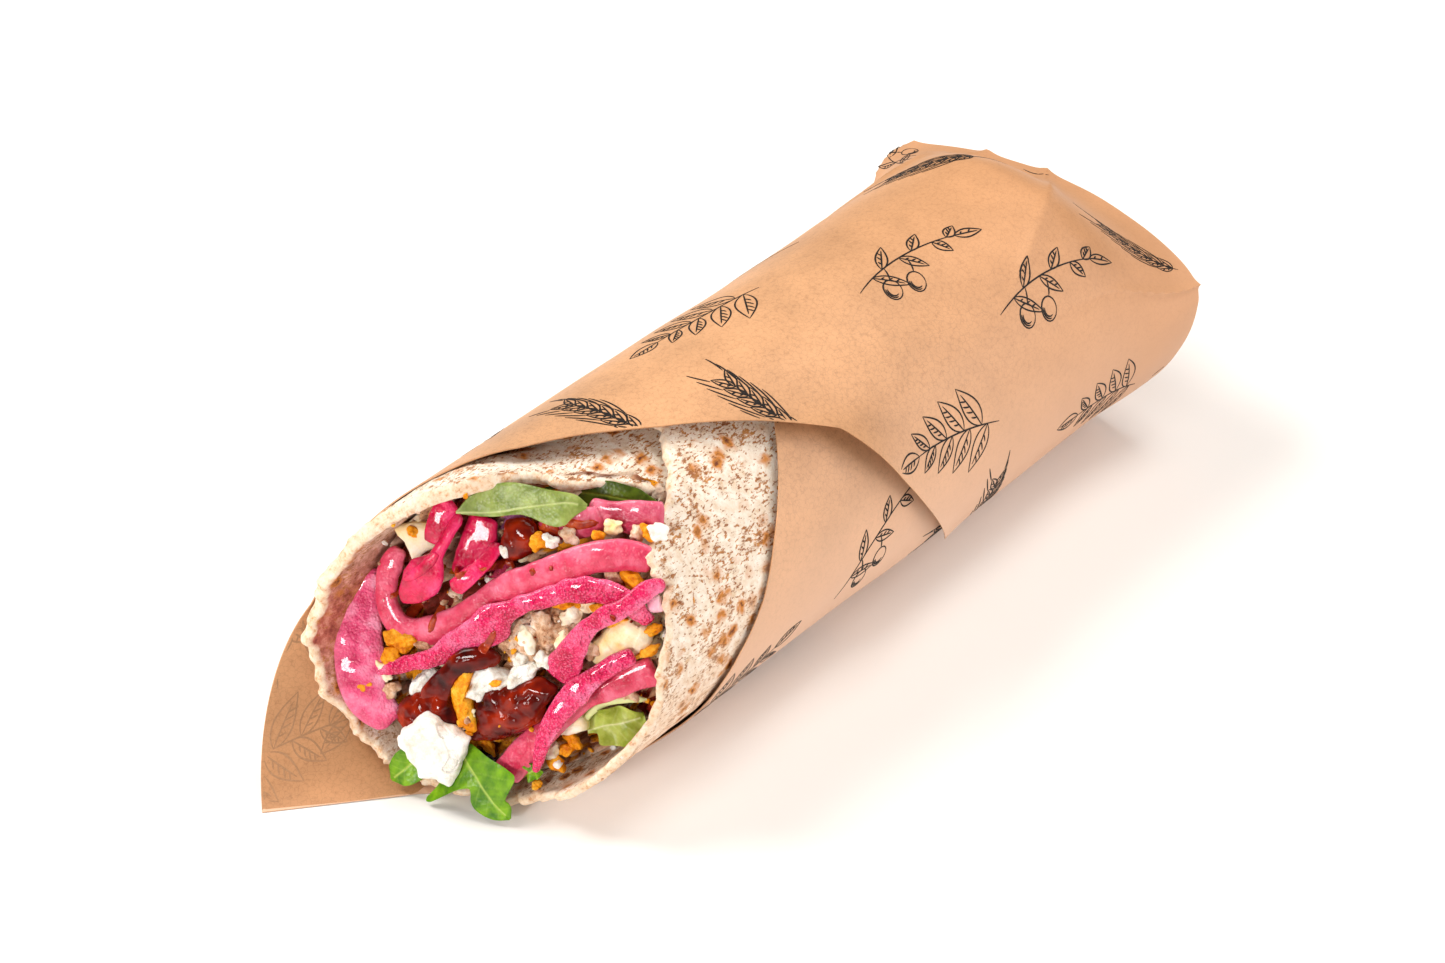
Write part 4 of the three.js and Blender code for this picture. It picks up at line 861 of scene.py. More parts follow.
class WRAP_OT_print(bpy.types.Operator):
    """Prints the sheet with sprigs of herbs, olive and wheat, in staggered rows"""
    bl_idname = "wrap.print"
    bl_label = "Printed sprigs"

    def execute(self, context):
        settings = context.scene.wrap_paper
        motifs = [herb_sprig(), olive_branch(), wheat_ear()]
        outside, inside = [], []
        # Places of the sprigs: [arc, X, row, column], with one more on the front corner.
        places = [
            (-80 + 37 * column + 11 * (row % 2) - 5 * (row % 3), 6 + 41 * row + 16 * (column % 2), row, column)
            for row in range(-1, 6) for column in range(8)
        ] + [(35, -1, 2, 2)]
        for arc, x, row, column in places:
            angle = (78 + 37 * ((row * 2 + column * 3) % 5) - 60) * DEG
            turn = np.array([[math.cos(angle), -math.sin(angle)], [math.sin(angle), math.cos(angle)]])
            for stroke in motifs[(row + 2 * column) % 3]:
                line = stroke @ turn.T + (arc, x)
                edge = read_off(PAPER_EDGE, line[:, 0])
                kept = (line[:, 1] > edge + 0.6) & (line[:, 1] < ROLL_END - 2)
                kept &= (line[:, 0] > PAPER_SIDES[0] + 2) & (line[:, 0] < PAPER_SIDES[1] - 1)
                for run in np.split(np.arange(len(line)), np.nonzero(~kept)[0]):
                    run = run[kept[run]]
                    if len(run) > 2:
                        outside.append(ink_ribbon(line[run], LINE_OUTSIDE, settings, 1))
                        if line[run, 1].max() < LINE_INSIDE_END:
                            inside.append(ink_ribbon(line[run], LINE_INSIDE, settings, -1))
        piece("printed_sprigs", joined(outside), printing_ink(settings, "Printing ink, near black", 1.0), "kraft_paper")
        faint = printing_ink(settings, "Printing ink, showing through", 0.45)
        piece("sprigs_showing_through", joined(inside), faint, "kraft_paper")
        return {"FINISHED"}


# ---- The flatbread ----

def bread_climb(turn):
    """How far outwards a layer has climbed: one step, between 200 and 310 degrees."""
    return BREAD_STEP * smooth_step(200, 310, turn)


def bread_circle(x):
    """The innermost layer's middle and radius along the roll, from the front circle to the back one."""
    share = smooth_step(30, 52, x)
    return [front + (back - front) * share for front, back in zip(BREAD_FRONT, BREAD_BACK)]


def bread_point(x, turn, shift, floor, shrink=1.0):
    """A point at shift outwards of the innermost layer, a circle that is kept above the floor."""
    y, z, radius = bread_circle(x)
    reach = (radius + shift) * shrink
    point = np.stack(np.broadcast_arrays(
        x, y + reach * np.sin(turn * DEG), np.maximum(z + reach * np.cos(turn * DEG), floor)), axis=-1)
    return np.array(point, float)


def rounded_end(x, reach):
    """Places along a closed end that is reach long, and the share of the width left there: a curve whose width and
    length, each to the power of the roundness, add up to 1."""
    along = np.maximum(0, x - BREAD_ROUND_START) / (BREAD_END - BREAD_ROUND_START)
    shrink = np.maximum(0, 1 - along**BREAD_ROUNDNESS) ** (1 / BREAD_ROUNDNESS)
    return np.where(x < BREAD_ROUND_START, x, BREAD_ROUND_START + along * reach), shrink


class WRAP_OT_bread(bpy.types.Operator):
    """Makes the flatbread: a blistered sheet wound round the filling, with a torn rim, and its closed end"""
    bl_idname = "wrap.bread"
    bl_label = "Flatbread"

    def execute(self, context):
        settings = context.scene.wrap_bread
        turns = np.linspace(BREAD_START, BREAD_STOP, 620)
        ragged = laid_flat(turns * 0.56, 0 * turns)
        edge = read_off(BREAD_RIM, turns) + 0.5 * np.sin(turns * 0.31) + 0.3 * np.sin(turns * 0.83)
        flaky = 1 + 0.9 * smooth_step(120, 150, turns) * smooth_step(235, 215, turns)
        edge = edge + flaky * (0.55 * smooth_noise(ragged, 3.1, 11) + 0.4 * smooth_noise(ragged, 0.9, 12))
        # Rows stand close together behind the rim, which they round off, and then spread out.
        near = np.array([0, 0.06, 0.2, 0.42, 0.72, 1.1, 1.6, 2.2])
        shares = np.concatenate([[0] * len(near), np.linspace(0, 1, 64)[1:] ** 1.35])
        steps = np.concatenate([near, np.full(63, near[-1])])
        x = edge + steps[:, None] + (BREAD_WOUND_STOP - near[-1] - edge) * shares[:, None]
        turn = np.broadcast_to(turns, x.shape)
        depth = x - edge
        rounded = np.sqrt(np.clip(1 - (1 - np.minimum(depth / 1.3, 1)) ** 2, 0.0004, 1))
        arc = turn * DEG * BREAD_FRONT[2]
        flat = laid_flat(arc, x)
        blister = lumpy_noise(flat, 5.5, 21)[0]
        bumps = np.maximum(0, 0.55 - blister) * 1.3 + 0.35 * smooth_noise(flat, 2.2, 22)
        bumps = settings.blisters / MM * (bumps + 0.6 * smooth_noise(flat, 0.9, 24) * (depth < 5))
        fine = 0.5 * smooth_noise(flat + 70, 1.8, 23) * settings.blisters / MM
        # In front, its outer face is puffed up over the top. Low on the near side, and just behind the paper's edge
        # on the far side, it swells until it all but meets the paper.
        puff = smooth_step(-25, 15, turn) * smooth_step(215, 180, turn) * smooth_step(60, 30, x)
        y, z, radius = bread_circle(x)
        room = ROLL_RADIUS + paper_layer(turn) - 0.4 - y * np.sin(turn * DEG)
        room = room + (ROLL_MIDDLE - z) * np.cos(turn * DEG)
        swell = np.maximum(0, room - radius - bread_climb(turn) - BREAD_THICK / 2)
        low = smooth_step(184, 204, turn) * smooth_step(300, 280, turn) * smooth_step(110, 80, x)
        behind = x - read_off(PAPER_EDGE, ROLL_RADIUS * (180 - turn) * DEG)
        high = 0.85 * smooth_step(14, 34, turn) * smooth_step(110, 90, turn) * smooth_step(12, 3, behind)
        swell = (swell * low + np.maximum(0, swell - 0.4) * high) * smooth_step(1, 12, depth)
        faces = []
        for side, relief in ((1, bumps - 0.1), (-1, -fine)):
            half = side * BREAD_THICK / 2 * rounded * (1 - 0.4 * (side < 0) * smooth_step(9, 1, depth))
            shift = bread_climb(turn) + half * (1 + (side > 0) * puff) + relief * rounded + (side > 0) * swell
            faces.append(bread_point(x, turn, shift, BREAD_FLOOR + BREAD_THICK / 2 - half))
        solid = closed_sheet(*faces)
        flow = np.tile(np.stack([arc, x], axis=-1).reshape(-1, 2), (2, 1))
        rim = np.tile((1 - smooth_step(0.4, 1.5, depth + 0.5 * smooth_noise(flat, 1.1, 25))).ravel(), 2)
        face = np.repeat([0.0, 1.0], x.size)  # 0 on the outer face and 1 on the inner one
        turned = np.tile(turn.ravel(), 2)
        stain = face * np.exp(-((turned - 92) / 34) ** 2) * (1 - 0.8 * rim)
        # Painted shade: a pink tint low on the outer face, mostly from turn 100 to 225, and half as much on the inner
        # face's lower half.
        blush = np.maximum((1 - face) * smooth_step(295, 225, turned) * smooth_step(30, 100, turned),
                           0.5 * face * smooth_step(40, 70, turned) * (turned < 260))

        # The closed end: one wall of rings, out over the filling's round end and back inside.
        columns = 120
        ring_turns = BREAD_START + 30 + 360 * np.arange(columns) / columns
        stations = np.concatenate([[BREAD_END_START], BREAD_ROUND_START + (BREAD_END - BREAD_ROUND_START - 0.6)
                                   * np.sin(np.linspace(0, 1, 16) * math.pi / 2)])
        rings = []
        for side in (1, -1):
            long = BREAD_END - BREAD_ROUND_START - (BREAD_THICK if side < 0 else 0)
            place, shrink = rounded_end(stations[:, None], long)
            layers = np.where(
                ring_turns > 45, bread_climb(ring_turns), BREAD_STEP * (1 - smooth_step(15, 45, ring_turns)))
            half = BREAD_THICK / 2 + 0.02
            shift = (layers + half) if side > 0 else np.full(columns, -half)
            floor = BREAD_FLOOR if side > 0 else BREAD_FLOOR + BREAD_THICK
            ring = bread_point(stations[:, None], ring_turns, shift, floor, shrink)
            ring[..., 0] = place
            rings.append(ring)
        end = closed_loft(np.concatenate([rings[0][::-1], rings[1]]))
        whole = joined([faces_out(*solid), faces_out(*end)])
        flow = np.concatenate([flow, end[0][:, :2]])
        marks = {"rim": rim, "stain": stain, "blush": blush}
        marks = {name: np.pad(values, (0, len(end[0]))) for name, values in marks.items()}
        piece("flatbread_roll", whole, griddled_flatbread(settings), "flatbread", ["flatbread"], flow, marks)
        return {"FINISHED"}


# ---- The filling ----

# The dark wine red is painted on the filling's face as shade, in its recesses.
FALAFEL, PALE, ORANGE, CREAM, SAUCE, PINK, WINE, VIOLET = (np.array(linear(c)) for c in (
    "#E6B690", "#F8DEC6", "#F9A51C", "#FDF0CC", "#8A1C0C", "#D8406E", "#7C2A20", "#A05A86"))


def face_height(across, up):
    """How far the filling's face stands out of the mouth's plane: a base and five round swells and dips."""
    total = FACE_BASE
    for u, v, spread, height in FACE_SWELLS:
        total = total + height * np.exp(-((across - u) ** 2 + (up - v) ** 2) / (2 * spread * spread))
    crumb = np.sin(across * 0.9 + 1.3 * np.sin(up * 0.5)) * np.sin(up * 0.83 + 0.7)
    return total + 0.7 * crumb


def face_point(y, z, relief=0.0):
    """The face over a place in the roll's cross-section, moved along X to stand at its height."""
    flat = np.stack(np.broadcast_arrays(0.0 * y, y, z), axis=-1) - MOUTH_CENTRE
    x = -(flat[..., 1] * MOUTH_OUT[1] + flat[..., 2] * MOUTH_OUT[2]) / MOUTH_OUT[0]
    on_plane = np.stack([x, flat[..., 1], flat[..., 2]], axis=-1)
    across, up = on_plane @ MOUTH_ACROSS, on_plane @ MOUTH_UP
    height = face_height(across, up) + relief
    point = np.stack([MOUTH_CENTRE[0] + x + height / MOUTH_OUT[0], y + 0 * x, z + 0 * x], axis=-1)
    return point, across, up


# What the crumbs are made of in places, and where a dark wine red is painted on as shade in the face's recesses:
# [across, up, reach, colour] where it isn't the usual mix.
CRUMB_PATCHES = [
    (21, 7, 9, CREAM), (27, 4, 7, CREAM), (4, 1, 8, FALAFEL), (10, 4, 6, PALE), (12, 9, 4, CREAM),
    (19, 11.5, 3, ORANGE), (24, 18.3, 3.6, ORANGE), (20, 18.4, 2.6, PALE), (-23, -5, 4, ORANGE),
    (-24, -9, 3, ORANGE), (-28, -15, 3.5, ORANGE), (4.5, 21.6, 3.2, ORANGE), (9.5, 23.4, 3.5, FALAFEL),
    (15, 25, 3, ORANGE), (19, 26.5, 3, PALE), (24, 27.5, 3.4, ORANGE), (27.5, 28.5, 3, CREAM), (7, 12.5, 4, ORANGE),
    (11, 11, 3.4, ORANGE), (17.3, 2.5, 2.6, FALAFEL), (15, -14.5, 4, CREAM), (14, -18.5, 3, ORANGE),
    (25.6, -5.7, 3.4, FALAFEL), (18, -18.4, 3.2, SAUCE), (27.8, -10.4, 3.4, SAUCE), (-8, -16, 6, SAUCE),
    (2, -16, 6, SAUCE), (-9, 8, 4, WINE), (-18, 2, 5, WINE), (-24, 9, 5, WINE), (-12, 22, 5, WINE),
    (-4, 24.5, 3.4, VIOLET), (-6, 14, 4, PINK), (-3, -24, 4, ORANGE), (17, 17.5, 2, WINE),
]
# The usual mix, one of which falls to each crumb.
CRUMB_MIX = np.array([FALAFEL, PALE, ORANGE, ORANGE, CREAM, FALAFEL, PALE, ORANGE, FALAFEL, CREAM])


class WRAP_OT_filling(bpy.types.Operator):
    """Makes the heap of falafel, egg and crumbs that fills the roll from its mouth to its closed end"""
    bl_idname = "wrap.filling"
    bl_label = "Falafel filling"

    def execute(self, context):
        relief_mm = context.scene.wrap_filling.relief / MM
        columns = 320
        turns = 360 * np.arange(columns) / columns
        inside = -BREAD_THICK / 2 - GAP - 0.1
        floor = BREAD_FLOOR + BREAD_THICK + GAP + 0.1
        shift = inside + bread_climb(turns) * (1 - smooth_step(292, 308, turns))
        guess = bread_point(np.full(columns, MOUTH_CENTRE[0]), turns, shift, floor)
        rim, _, _ = face_point(guess[:, 1], guess[:, 2])
        shares = np.concatenate([np.linspace(0.01, 0.97, 118), [0.985, 1.0]])[:, None]
        y = BREAD_FRONT[0] + (rim[None, :, 1] - BREAD_FRONT[0]) * shares
        z = BREAD_FRONT[1] + (rim[None, :, 2] - BREAD_FRONT[1]) * shares
        _, across, up = face_point(y, z)
        flat = laid_flat(across, up)
        jitter = np.stack([smooth_noise(flat, 1.6, 31), smooth_noise(flat, 1.6, 32), 0 * up], axis=-1)
        _, big_gap, big_number, big_way = lumpy_noise(flat * (1, 1.15, 1) + 0.9 * jitter, 5.6, 33)
        _, gap, number, way = lumpy_noise(flat + 0.5 * jitter, 2.3, 37)
        chunk = smooth_step(0, 0.22, big_gap) * (0.75 + 0.5 * big_number)
        chunk = chunk + 0.6 * (big_way[..., 0] + big_way[..., 1]) * (big_number - 0.5)
        bit = smooth_step(0, 0.3, gap) * (0.7 + 0.6 * number) + 0.5 * (way[..., 0] - way[..., 1]) * (number - 0.5)
        relief = relief_mm * (0.95 * chunk + 0.42 * bit - 1.05) * smooth_step(1.0, 0.93, shares)
        face, _, _ = face_point(y, z, relief)
        mix = np.where(number > 0.62, number * 7.3 % 1, big_number)
        colour = CRUMB_MIX[np.minimum((mix * 10).astype(int), 9)]
        for u, v, reach, patch in CRUMB_PATCHES:
            away = np.hypot(across - u, up - v) + 2.2 * (number - 0.5)
            colour = np.where((away < reach)[..., None], patch, colour)
        # Painted shade: the gaps between the chunks and crumbs are darkened towards a red-brown.
        deep = 0.75 * (1 - smooth_step(0.02, 0.16, big_gap)) + 0.35 * (1 - smooth_step(0.02, 0.2, gap))
        deep = np.clip(deep, 0, 0.85)[..., None]
        colour = colour * (0.84 + 0.3 * number[..., None])
        colour = colour * (1 - deep) + np.array(linear("#7A2A10")) * deep

        # Behind the face: an edge ring just inside the bread, and plain rings back to the round end.
        edge = bread_point(rim[:, 0] + 1, turns, shift, floor)
        back_x = np.array([70, 105, 140, 165, 172, 178, 183, 188, 191.5, 194.5])
        place, shrink = rounded_end(back_x[:, None], FILLING_END - BREAD_ROUND_START)
        back_shift = np.where(back_x[:, None] < BREAD_ROUND_START, shift, inside)
        back = bread_point(back_x[:, None], turns, back_shift, floor, shrink)
        back[..., 0] = place
        solid = closed_loft(np.concatenate([face, edge[None], back]))
        marks = np.tile(FALAFEL, (len(solid[0]), 1)) * 0.85
        marks[:face.shape[0] * columns] = colour.reshape(-1, 3)
        piece("crumbly_filling", solid, crumbly_filling(), "falafel_filling", ["filling_core"],
              marks={"crumb": np.clip(marks, 0, 1)})
        return {"FINISHED"}


# ---- Pieces of food in the mouth ----

def frame_along(tangent, lean):
    """The two directions across a path: wide lies in the mouth's plane, turned by lean degrees about the path."""
    wide = np.cross(MOUTH_OUT, tangent)
    wide /= np.linalg.norm(wide, axis=1, keepdims=True)
    high = np.cross(tangent, wide)
    cosine, sine = np.cos(lean * DEG)[:, None], np.sin(lean * DEG)[:, None]
    return wide * cosine + high * sine, high * cosine - wide * sine


def strip(path, widths, thick, lean=(0,), seed=1, waves=0.25, blunt=0.55, buckle=0.14, around=28):
    """A strip carried along a smooth path. Its section is a rounded oblong, where the 2.4th powers of both half
    sizes add up to 1; both ends narrow to a share blunt and are rounded off over a millimetre. waves moves its
    two edges in and out, and buckle moves its faces up and down."""
    cap = 1.0
    _, _, length = smooth_path(mouth_point(path), [0, 1])
    rise = np.sin(np.linspace(0.12, 1, 7) * math.pi / 2)
    ends = cap * (1 - np.cos(np.linspace(0.12, 1, 7) * math.pi / 2))
    count = max(30, int(length / 0.45))
    middle = np.linspace(cap, length - cap, count)[1:-1]
    run = np.concatenate([ends, middle, length - ends[::-1]])
    capped = np.concatenate([rise, np.ones(len(middle)), rise[::-1]])
    share = run / length
    centre, tangent, _ = smooth_path(mouth_point(path), share)
    wide, high = frame_along(tangent, along_path(share, lean))
    taper = np.minimum(1, blunt + 6 * np.minimum(share, 1 - share))
    half_wide = np.maximum(along_path(share, widths) * taper / 2 - cap * (1 - capped), 0.25)
    half_thick = np.maximum(thick * taper / 2 - np.minimum(cap, thick / 2) * (1 - capped), 0.06)
    angle = 2 * np.pi * np.arange(around) / around
    a, b = (np.sign(v) * np.abs(v) ** (2 / 2.4) for v in (np.cos(angle), np.sin(angle)))
    line = laid_flat(run, 0 * run)
    left = waves * (smooth_noise(line, 5, seed) + 0.5 * smooth_noise(line, 2, seed + 1))
    right = waves * (smooth_noise(line + 50, 4.2, seed + 2) + 0.5 * smooth_noise(line, 2.3, seed + 3))
    reach = half_wide[:, None] * a
    reach = reach + np.where(a > 0, left[:, None], -right[:, None]) * np.abs(a) * capped[:, None]
    lift = half_thick[:, None] * b
    rings = centre[:, None, :] + reach[..., None] * wide[:, None, :] + lift[..., None] * high[:, None, :]
    rough = smooth_noise(centre[:, None, :] + reach[..., None] * wide[:, None, :], 3.2, seed + 4)
    rings = rings + (buckle * capped[:, None] * rough)[..., None] * high[:, None, :]
    flow = np.stack([np.broadcast_to(run[:, None], reach.shape), reach], axis=-1).reshape(-1, 2)
    edge = np.broadcast_to(np.abs(a) ** 5, reach.shape).ravel()
    # side runs from -1 to 1 across the strip; the onion material paints shade and light with it.
    side = np.broadcast_to(a, reach.shape).ravel()
    flow = np.concatenate([flow, [[0, 0], [length, 0]]])
    return closed_loft(rings), flow, {"edge": np.concatenate([edge, [1, 1]]), "side": np.concatenate([side, [0, 0]])}


def lump(at, size, turn=0, seed=1, cuts=9, rough=0.25, grain=1.1, rows=40, columns=64):
    """A lump of food: in each direction it reaches as far as the nearest of its flat cuts, a cut's distance
    divided by how squarely the direction meets it, is 13% uneven, and is roughened by fine noise."""
    random = seeded(seed)
    planes = []
    for _ in range(cuts):
        towards = np.array([next(random) - 0.5 for _ in range(3)])
        planes.append((towards / np.linalg.norm(towards), 0.7 + 0.2 * next(random)))
    direction, quads, triangles = ball(rows, columns)
    reach = np.ones(len(direction))
    for towards, distance in planes:
        facing = direction @ towards
        reach = np.where(facing > 0.2, np.minimum(reach, distance / np.maximum(facing, 0.2)), reach)
    reach = reach * (1 + 0.13 * np.sin(4 * direction[:, 0] + seed) * np.sin(5 * direction[:, 1] + 2 * seed))
    body = direction * reach[:, None] * np.asarray(size)
    crumb, _, number, _ = lumpy_noise(body + 31 * seed, grain * 1.7, seed + 40)
    outward = rough * (smooth_noise(body + 17 * seed, grain, seed) + 1.6 * (0.6 - crumb) + 0.8 * (number - 0.5))
    body = body + direction * outward[:, None]
    cosine, sine = math.cos(turn * DEG), math.sin(turn * DEG)
    across = body[:, 0] * cosine - body[:, 1] * sine
    up = body[:, 0] * sine + body[:, 1] * cosine
    return mouth_point(np.stack([across, up, body[:, 2]], axis=-1) + np.asarray(at, float)), quads, triangles


def mound(outline, out, high, deep, power=2.4, smooth=3, tilt=(0, 0), rough=0.2, grain=1.6, fine=0.1, seed=1,
          rows=34, columns=128):
    """A piece with an outline of its own. Rings run from its middle to the outline; its top rises by high times
    the root of 1 less the share to a power, its underside goes down by deep in the same way with power 8. The
    outline is rounded by a running mean of smooth steps, and noise of two sizes roughens it all."""
    corners = np.asarray(outline, float)
    middle = corners.mean(axis=0)
    loop = np.concatenate([corners, corners[:1]])
    length = np.concatenate([[0], np.cumsum(np.linalg.norm(np.diff(loop, axis=0), axis=1))])
    even = np.linspace(0, length[-1], 720, endpoint=False)
    line = np.stack([np.interp(even, length, loop[:, k]) for k in (0, 1)], axis=1) - middle
    kernel = np.hanning(2 * smooth * 6 + 3)
    kernel /= kernel.sum()
    half = len(kernel) // 2
    line = np.stack([
        np.convolve(np.pad(line[:, k], half, mode="wrap"), kernel, mode="valid") for k in (0, 1)], axis=1)
    heading = np.arctan2(line[:, 1], line[:, 0])
    order = np.argsort(heading)
    angle = 2 * np.pi * np.arange(columns) / columns - np.pi
    radius = np.interp(angle, heading[order], np.hypot(*line.T)[order], period=2 * np.pi)
    way = np.stack([np.cos(angle), np.sin(angle)], axis=1)
    top = np.sin(np.linspace(0.03, 1, rows) * math.pi / 2)
    under = top[-2::-4]
    share = np.concatenate([top, under])[:, None]
    side = np.concatenate([np.ones(rows), -np.ones(len(under))])[:, None]
    flat = share[..., None] * radius[None, :, None] * way[None]
    rise = np.where(side > 0, high * np.sqrt(1 - share**power), -deep * np.sqrt(1 - share**8))
    rise = rise + flat[..., 0] * tilt[0] + flat[..., 1] * tilt[1]
    body = np.concatenate([flat, rise[..., None]], axis=-1)
    lean = np.concatenate([flat / radius.mean() * share[..., None] ** 3, np.where(side > 0, 1.0, -1.0)[..., None]
                           * np.sqrt(1.02 - share**6)[..., None] * np.ones((1, columns, 1))], axis=-1)
    lean /= np.linalg.norm(lean, axis=-1, keepdims=True)
    crumb, _, number, _ = lumpy_noise(body + 31 * seed, grain * 1.7, seed + 40)
    outward = rough * (smooth_noise(body + 17 * seed, grain, seed) + 1.1 * (0.6 - crumb) + 0.7 * (number - 0.5))
    outward = outward + fine * smooth_noise(body + 5 * seed, grain / 2.6, seed + 9)
    body = body + lean * outward[..., None] * smooth_step(0, 0.2, share)[..., None]
    rings = mouth_point(body + np.array([*middle, out]))
    return closed_loft(rings)


def leaf(path, left, right, cup=0.2, wave=0.7, ripples=3.0, lean=0.0, thick=0.4, seed=1, veins=6):
    """A thin wavy leaf along a midrib: across it from -1 to 1 it bends up by cup times its half width times the
    square, and ripples by a sine along its length that grows towards its edges."""
    rows, columns = 100, 35
    share = np.linspace(0, 1, rows)
    centre, tangent, length = smooth_path(mouth_point(path), share)
    wide, high = frame_along(tangent, np.full(rows, float(lean)))
    across = np.linspace(-1, 1, columns)
    kernel = np.hanning(9) / np.hanning(9).sum()
    left, right = (
        np.convolve(np.pad(along_path(share, side), 4, mode="edge"), kernel, mode="valid")[:, None]
        for side in (left, right))
    half = np.maximum(np.where(across < 0, left, right), 0.15)
    run = share[:, None] * length
    flat = laid_flat(run + 0 * across, across * half)
    bend = cup * half * across**2 + wave * across * np.sin(2 * np.pi * ripples * share)[:, None]
    bend = bend + 0.25 * smooth_noise(flat, 3.0, seed)
    rib = np.exp(-(np.abs(across * half) / 0.2) ** 2)
    slanted = (run - 0.75 * np.abs(across * half)) / length * veins
    branch = np.exp(-((slanted - np.round(slanted)) * length / veins / 0.16) ** 2) * (np.abs(across) < 0.82)
    vein = np.clip(0.8 * rib * (share < 0.93)[:, None] + 0.16 * branch, 0, 1)
    bend = bend - 0.12 * rib
    faces = []
    for side in (1, -1):
        taper = thick / 2 * np.sqrt(np.clip(1 - across**6, 0.02, 1))
        faces.append(centre[:, None, :] + (across * half)[..., None] * wide[:, None, :]
                     + (bend + side * taper)[..., None] * high[:, None, :])
    flow = np.tile(flat[..., :2].reshape(-1, 2), (2, 1))
    return closed_sheet(*faces), flow, {"vein": np.tile(vein.ravel(), 2)}


# Strips of onion: [node, finish, sizes]. Places are [across, up, out] in the mouth.
ONIONS = [
    ("onion_textured", "grained", dict(
        path=[[26.9, 4.5, 3.9], [23.5, 2, 4.6], [20.4, -0.8, 5.3], [17.3, -4.6, 6], [14.3, -8.9, 6.8],
              [12.3, -13.2, 7.2], [11, -17.7, 7.1], [9.7, -24.3, 6.4]],
        widths=[3.6, 3.6, 4.4, 5.6, 4.7, 3.9, 3, 1.7], thick=2.2, blunt=0.9, buckle=0.3, seed=51)),
    ("onion_fork", "grained", dict(
        path=[[31.2, 19.7, 1.6], [28.8, 19.1, 3.7], [26.4, 16.7, 5.4], [24, 14.4, 6.4], [20.2, 11.6, 6.4],
              [17, 7.9, 6.1], [15.1, 3.8, 5.6], [13.6, 0.1, 4.7], [11.3, -4.4, 3.6]],
        widths=[2.4, 3.9, 3.9, 3.9, 3.3, 4.3, 5.6, 7.3, 6.9], thick=1.8, blunt=0.85, buckle=0.25, seed=52)),
    ("onion_wavy", "grained", dict(
        path=[[-27, -12.7, 3.4], [-21.7, -10, 4], [-16.3, -6.8, 4.4], [-11.5, -3.4, 4.6], [-7.3, -0.1, 4.8],
              [-3.8, 3, 5], [-1.1, 6.5, 4.6], [3.7, 10.2, 4.1], [8.5, 12.8, 3.5], [13.4, 14.9, 3.1],
              [18.5, 15.6, 2.9], [23, 14.8, 2.7], [26.7, 12.6, 1.9], [29, 10.9, 0.8]],
        widths=[1.3, 3.2, 3.7, 4.2, 6, 8.6, 7.8, 4.4, 3.4, 4.3, 5.2, 5.6, 5.2, 4.3], thick=1.9, blunt=0.7, buckle=0.45,
        waves=0.5, lean=[0, -8, -10, 0, 12, 18, 14, 0, -12, -10, 6, 14, 10, 0], seed=53)),
    ("onion_thin_streak", "deep", dict(
        path=[[-3.9, 20, 0.8], [-5.6, 16.6, 2.4], [-8.3, 13.4, 4.2], [-11.3, 9.9, 5.2]],
        widths=[2.8, 3.2, 3.6, 3.4], thick=1.5, buckle=0.35, seed=54)),
    ("onion_hot_ribbon", "deep", dict(
        path=[[-12.4, 24.8, 1.4], [-13.2, 22, 2.6], [-14.2, 19.2, 3.4], [-15.4, 16.2, 3.8], [-17.1, 11.9, 4],
              [-19, 8.6, 4], [-21.1, 5.8, 3.8], [-22.2, 4, 3.6]],
        widths=[2.8, 2.6, 2.5, 3, 7.6, 8.4, 6, 2.8], thick=2.2, lean=[30, 26, 24, 16, 0, -12, -10, -6], buckle=0.4,
        seed=55)),
    ("onion_big_ring", "pale", dict(
        path=[[-25.6, 13.2, -1.4], [-27.3, 7.4, -0.2], [-26.7, 1.8, 0.7], [-23.8, -2, 1.3], [-18.9, -2.4, 1.6],
              [-12.6, 0.9, 1.7], [-6.5, 6.3, 1.8], [-0.5, 11.5, 1.7], [5.5, 15.3, 1.7], [11.4, 19.2, 1.6],
              [17.3, 22.1, 1.3], [22.1, 23.2, 0.5], [27.3, 23.1, -0.6]],
        widths=[4.3, 4.5, 4.8, 5.8, 6.3, 5.9, 5.6, 6.3, 6.8, 6.7, 6.6, 6.5, 6.2], thick=2.8, blunt=0.8, seed=56)),
    ("onion_lower_band", "pale", dict(
        path=[[30.5, 0.5, 0], [25.6, -2.5, 0.9], [21, -5.5, 1.7], [17.3, -8.2, 2.5], [13.7, -12.3, 3.3],
              [10, -16.7, 3.9], [6.4, -21.6, 4.4], [3, -27.4, 5]],
        widths=[6.5, 5.6, 4.7, 4.3, 4.6, 5.4, 6, 5.8], thick=2.4, blunt=0.92, seed=57)),
    ("onion_left_slab", "slab", dict(
        path=[[-30.6, 7, -3], [-32, 2.5, -0.9], [-31.8, -2.8, 1.3], [-31, -8.8, 3.4], [-29.4, -14.7, 4.3],
              [-26.8, -19, 4.5], [-22.4, -22.4, 4]],
        widths=[2.4, 6, 8.6, 10.3, 10, 9, 6.5], thick=2.4, lean=[-12, -14, -15, -16, -14, -12, -10],
        blunt=0.75, buckle=0.35, seed=58)),
    ("onion_deep_slab", "deep", dict(
        path=[[-8.3, 23.8, -1.9], [-8.8, 19, -0.9], [-10, 14.7, 0], [-11.7, 11, 0.7]],
        widths=[5.8, 7.4, 7, 4.3], thick=2, blunt=0.8, buckle=0.3, seed=59)),
    ("onion_top_slice", "shaded", dict(
        path=[[3, 23.8, -2.2], [7.4, 25, -2.8], [11.6, 26.4, -3.4], [15.6, 28, -4.2]],
        widths=[4, 6.2, 6.6, 5], thick=2.4, seed=60)),
    ("onion_top_right", "shaded", dict(
        path=[[12, 29.4, -5], [17.3, 28.8, -5], [22.4, 29, -5.1], [27.4, 29.2, -5.7]],
        widths=[3.4, 6, 8, 8.4], thick=2.4, blunt=0.8, seed=61)),
]
